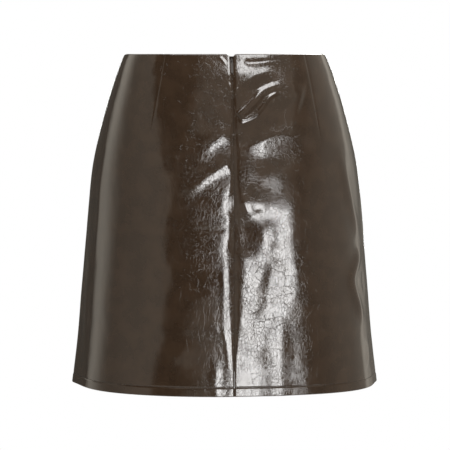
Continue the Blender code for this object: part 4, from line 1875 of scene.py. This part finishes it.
@dataclass
class Zip:
    """The concealed zip: two tapes with their coils, the slider and its pull tab."""

    form: SkirtForm
    sizes: ZipSizes = ZipSizes()
    tooth: Tooth = Tooth()
    slider_shape: SliderShape = SliderShape()
    pull_shape: PullShape = PullShape()
    tape_rows: int = 170
    tape_band: float = 0.0024
    rib_pitch: float = 0.0016
    rib_height: float = 0.00003

    TAPE_COLUMNS = (4, 16, 3)

    def behind(self, across: Array, drop: Array, depth: Array) -> tuple[Array, Array, Array, Array]:
        """Return places behind the leather's face, with the directions along, down and out."""
        place, along, down, out = self.form.frame_at(across, drop)
        return place - out * depth[..., None], along, down, out

    def tape(self, side: int, finish: Material) -> Piece:
        """Make one woven tape behind its panel.

        Args:
            side: 1 for +X, -1 for -X.
            finish: the ribbon's finish.

        Returns:
            The tape.
        """
        sizes, cut = self.sizes, self.form.cut
        drop = np.linspace(sizes.tape_top, sizes.tape_end, self.tape_rows)
        edge = sizes.tape_edge(drop)
        far = cut.zip_edge(drop) + sizes.tape_width
        across = lanes([edge, edge + self.tape_band, far - MM, far], self.TAPE_COLUMNS)
        drop = np.repeat(drop[:, None], across.shape[1], axis=1)
        across = across if side > 0 else -across[:, ::-1]
        face = cut.thickness(drop - MM) + cut.seam_gap
        front, _, _, out = self.behind(across, drop, face)
        ribs = self.rib_height * np.cos(2 * math.pi * np.abs(across) / self.rib_pitch)
        front = front + out * ribs[..., None]
        back = front - out * sizes.tape_thickness
        name = "ribbon_right" if side > 0 else "ribbon_left"
        return Shell(name, front, back, across, drop).build(finish)

    def coil(self, side: int, finish: Material) -> Piece:
        """Make one half of the coil: a slanting turn of wire for each tooth.

        Args:
            side: 1 for +X, -1 for -X.
            finish: the wire's finish.

        Returns:
            The half coil.
        """
        sizes, tooth = self.sizes, self.tooth
        stagger = 0.0 if side > 0 else 0.5
        first = sizes.tape_top + MM + stagger * tooth.pitch
        drop = np.arange(first, sizes.tape_end - 2 * MM, tooth.pitch)
        head = np.maximum(sizes.tape_edge(drop) - tooth.past_edge, tooth.least)
        wall = self.form.cut.thickness(drop - MM) + self.form.cut.seam_gap
        depth = wall + sizes.tape_thickness + tooth.depth
        place, _, down, out = self.behind(side * (head + tooth.reach), drop, depth)
        level = np.tile([1.0, 0.0, 0.0], (len(drop), 1))
        name = "coil_right" if side > 0 else "coil_left"
        frames = (place, level, down, unit(out * (0.0, 1.0, 1.0)))
        return copies(name, tooth.build(side), frames, finish)

    def axes(self) -> Matrix:
        """Return the pull tab's pivot, with X across, Y up the seam and Z out of it.

        Returns:
            The pivot's place and axes.
        """
        sizes = self.sizes
        ends = np.array([sizes.slider_drop - sizes.down_step, sizes.slider_drop + sizes.pull_length])
        upper, lower = (Vector(self.form.outer(np.zeros(1), np.array([end]))[0]) for end in ends)
        down = (lower - upper).normalized()
        out = Vector((0.0, down.z, -down.y))
        pivot = pull_pivot()
        return Matrix((
            (1.0, 0.0, 0.0, pivot.x), (0.0, -down.y, out.y, pivot.y),
            (0.0, -down.z, out.z, pivot.z), (0.0, 0.0, 0.0, 1.0),
        ))

    def slider(self, place: Matrix, finish: Material) -> Piece:
        """Make the slider: a waisted body behind the coils, and the arched lug in front.

        Args:
            place: its place, with X across, Y up the seam and Z out.
            finish: its finish.

        Returns:
            The slider.
        """
        cut = self.form.cut
        back = self.sizes.lug_rise + cut.turned_wall + 2 * cut.seam_gap + self.sizes.coil_depth
        plate, crown = self.slider_body(back), self.slider_lug(back)
        return seat(join(plate, crown), place, finish)

    def slider_body(self, back: float) -> Piece:
        """Make the body, narrower at both ends and hollowed, `back` behind the pivot.

        Args:
            back: the distance from the pivot back to the body.

        Returns:
            The body.
        """
        shape = self.slider_shape
        wide, high, deep = self.sizes.slider_size
        deep -= self.form.cut.seam_gap
        end = shape.end_row * high
        body = Bench("slider", (wide, high, deep))
        body.cut_across(1, -shape.cut_row * high, 0.0, shape.cut_row * high)
        body.pick(Part.CORNER, lambda at: at.y < -end)
        body.resize((shape.lower_share, 1.0, 1.0))
        body.pick(Part.CORNER, lambda at: at.y > end)
        body.resize((shape.upper_share, 1.0, 1.0))
        body.pick(Part.FACE, lambda at: at.z < -0.45 * deep)
        bpy.ops.mesh.inset(thickness=shape.back_rim, depth=0.0)
        bpy.ops.transform.translate(value=(0.0, 0.0, shape.back_hollow))
        body.pick(Part.FACE, lambda at: abs(at.x) > 0.3 * wide and abs(at.y) < end and abs(at.z) < 0.2 * deep)
        bpy.ops.mesh.inset(thickness=shape.flank_rim, depth=-shape.flank_hollow)
        plate = body.soften(shape.rounding)
        plate.data.transform(Matrix.Translation((0.0, 0.0, -back - shape.behind_coil - deep / 2)))
        return plate

    def slider_lug(self, back: float) -> Piece:
        """Make the lug, which arches over the pull's bar from `back` behind the pivot.

        Args:
            back: the distance from the pivot back to the lug's foot.

        Returns:
            The lug.
        """
        sizes, shape = self.sizes, self.slider_shape
        clear = sizes.pull_thickness / 2 + self.form.cut.seam_gap
        front, root = clear + sizes.lug_rod, back + shape.lug_root
        shift = (front - root) / 2
        crown_from = clear - shift
        lug = Bench("lug", (sizes.lug_thickness, 2 * (sizes.lug_half + sizes.lug_rod), front + root))
        lug.cut_across(1, -sizes.lug_half, sizes.lug_half)
        lug.cut_across(2, crown_from)
        flank = 0.4 * sizes.lug_thickness
        lug.pick(Part.FACE, lambda at: abs(at.y) < sizes.lug_half and at.z < crown_from and abs(at.x) > flank)
        bpy.ops.mesh.bridge_edge_loops()
        lug.pick(Part.CORNER, lambda at: at.z > crown_from + shape.lug_crown)
        lug.resize((1.0, shape.lug_crown_share, 1.0))
        crown = lug.soften(shape.lug_rounding)
        crown.data.transform(Matrix.Translation((0.0, 0.0, shift)))
        return crown

    def pull(self, place: Matrix, finish: Material) -> Piece:
        """Make the pull tab: a slim drop-shaped plate with an eye for the lug and a hollow.

        Args:
            place: its place, with X across, Y up the seam and Z out.
            finish: its finish.

        Returns:
            The pull tab.
        """
        sizes, shape = self.sizes, self.pull_shape
        bar, eye = sizes.pull_thickness / 2, sizes.pull_eye
        middle = (sizes.pull_length - bar) / 2
        tab = Bench("pull_tab", (sizes.pull_width, sizes.pull_length + bar, sizes.pull_thickness))
        tab.cut_across(1, *(middle - row for row in (bar, eye, *shape.rows)))
        window = sizes.lug_thickness / 2 + shape.eye_clear
        tab.cut_across(0, -window, window)
        tab.pick(Part.FACE, lambda at: abs(at.x) < window and bar < middle - at.y < eye)
        bpy.ops.mesh.bridge_edge_loops()
        rows = (-bar, bar, eye, shape.rows[-1], sizes.pull_length)
        for row, share in zip(rows, shape.shares):
            tab.pick(Part.CORNER, lambda at: abs(middle - at.y - row) < 1e-5 and abs(at.x) > 1.2 * window)
            tab.resize((share, 1.0, 1.0))
        top, foot = shape.hollow_rows
        tab.pick(Part.FACE, lambda at: abs(at.x) < window and top < middle - at.y < foot and at.z > 0.3 * bar)
        bpy.ops.mesh.inset(thickness=shape.hollow_rim, depth=-shape.hollow)
        piece = tab.soften(shape.rounding, 3)
        piece.data.transform(Matrix.Translation((0.0, -middle, 0.0)))
        return seat(piece, place, finish)

    def build(self) -> None:
        """Make and seat every piece of the zip, attach each to its body, and hide the solids that they
        replace.
        """
        ribbon = Woven("zip_ribbon", (0.010, 0.0075, 0.006), 0.0005, 0.00005).build()
        wire = Enamel("coil_nylon", (0.012, 0.009, 0.007), (0.35, 0.5), 0.0).build()
        enamel = Enamel("zip_enamel", (0.026, 0.021, 0.018), (0.60, 0.72), 0.2).build()
        for side, node in ((-1, "zip_tape_left"), (1, "zip_tape_right")):
            tape = self.tape(side, ribbon)
            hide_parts(node)
            teeth = self.coil(side, wire)
            for piece in (tape, teeth):
                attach(piece, "skirt")
            count = len(teeth.data.vertices) // Bench.RING_CORNERS
            LOG.info("%s and %s: %d teeth", tape.name, teeth.name, count)
        place = self.axes()
        slider = self.slider(place, enamel)
        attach(slider, "skirt")
        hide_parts("zip_slider")
        pull = self.pull(place, enamel)
        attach(pull, "pull")
        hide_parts("zip_pull")
        for piece in (slider, pull):
            LOG.info("%s: %d faces", piece.name, len(piece.data.polygons))


def pull_pivot() -> Vector:
    """Return the pull tab's pivot from the frame's joint."""
    joint = next(joint for joint in frame["joints"] if joint["name"] == "zip_pull_swing")
    return Vector(joint["pos_m"])


# ---------------------------------------------------------------- the skirt
@dataclass(frozen=True)
class PanelCut:
    """A panel's cut as it shows: greatest width, length, and area, in metres."""

    width: float
    length: float
    area: float


@dataclass(frozen=True)
class Stitch:
    """One corded stitch: a plump thread whose ends dive into the leather, in metres."""

    size: Size = (0.0026, 0.00036, 0.00034)
    bend: float = 0.0009
    end: float = 0.0012
    end_share: float = 0.55
    dive: float = 0.00022
    rounding: float = 0.00009

    def build(self) -> Piece:
        """Model the stitch.

        Returns:
            The stitch.
        """
        bench = Bench("stitch", self.size)
        bench.cut_across(0, -self.bend, 0.0, self.bend)
        bench.pick(Part.CORNER, lambda at: abs(at.x) > self.end)
        bench.resize((1.0, self.end_share, self.end_share))
        bpy.ops.transform.translate(value=(0.0, 0.0, -self.dive))
        return bench.soften(self.rounding, 1, 30.0)


@dataclass
class Skirt:
    """The three panels of leather, their seams and their sewing."""

    form: SkirtForm
    crinkle: bpy.types.NodeTree

    def build(self) -> None:
        leather = PatentLeather(self.crinkle).build()
        backing = Woven("backing", (0.030, 0.021, 0.016), 0.0006, 0.00006).build()
        thread = Thread().build()
        form = self.form
        specs = {
            "back_left": Panel("leather_back_left", form, side=-1),
            "back_right": Panel("leather_back_right", form, side=1),
            "front": Panel("leather_front", form, front=True, map_offset=1.3),
        }
        for node, panel in specs.items():
            made = panel.build(leather, backing)
            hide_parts(node)
            stitches = self.topstitching(panel, "topstitch_" + node, thread)
            for piece in (made, stitches):
                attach(piece, "skirt")
            LOG.info("%s: %d faces, %s", made.name, len(made.data.polygons), stitches.name)

    def topstitching(self, panel: Panel, name: str, finish: Material) -> Piece:
        """Sew the hem of one panel with a line of corded stitches.

        Args:
            panel: the panel.
            name: the new piece's name.
            finish: the thread's finish.

        Returns:
            The stitches, as one piece.
        """
        cut = self.form.cut
        drop = np.array([cut.length - cut.hem_stitch])
        ends = panel.columns(drop)[0]
        start, stop = ends.min() + HEM_SEWING.end_clear, ends.max() - HEM_SEWING.end_clear
        place = np.arange(start, stop, cut.stitch_pitch)
        wander = np.random.default_rng(len(name)).uniform(-1.0, 1.0, len(place))
        drop = drop[0] + HEM_SEWING.wander * wander
        across = self.form.from_front(place, drop) if panel.front else place
        point, along, down, out = self.form.frame_at(across, drop - panel.hem_rise(across, drop))
        point = point + out * (panel.sewn_lift(place, drop) + HEM_SEWING.stand)[:, None]
        if panel.front:
            along, down = -along, -down
        return copies(name, Stitch().build(), (point, along, down, out), finish)


def main() -> None:
    """Build the studio, the skirt and its zip, and report each piece."""
    logging.basicConfig(level=logging.INFO, format="%(message)s")
    Studio().build()
    form = SkirtForm(Cut())
    Skirt(form, Crinkle().build()).build()
    Zip(form).build()


if __name__ == "__main__":
    main()
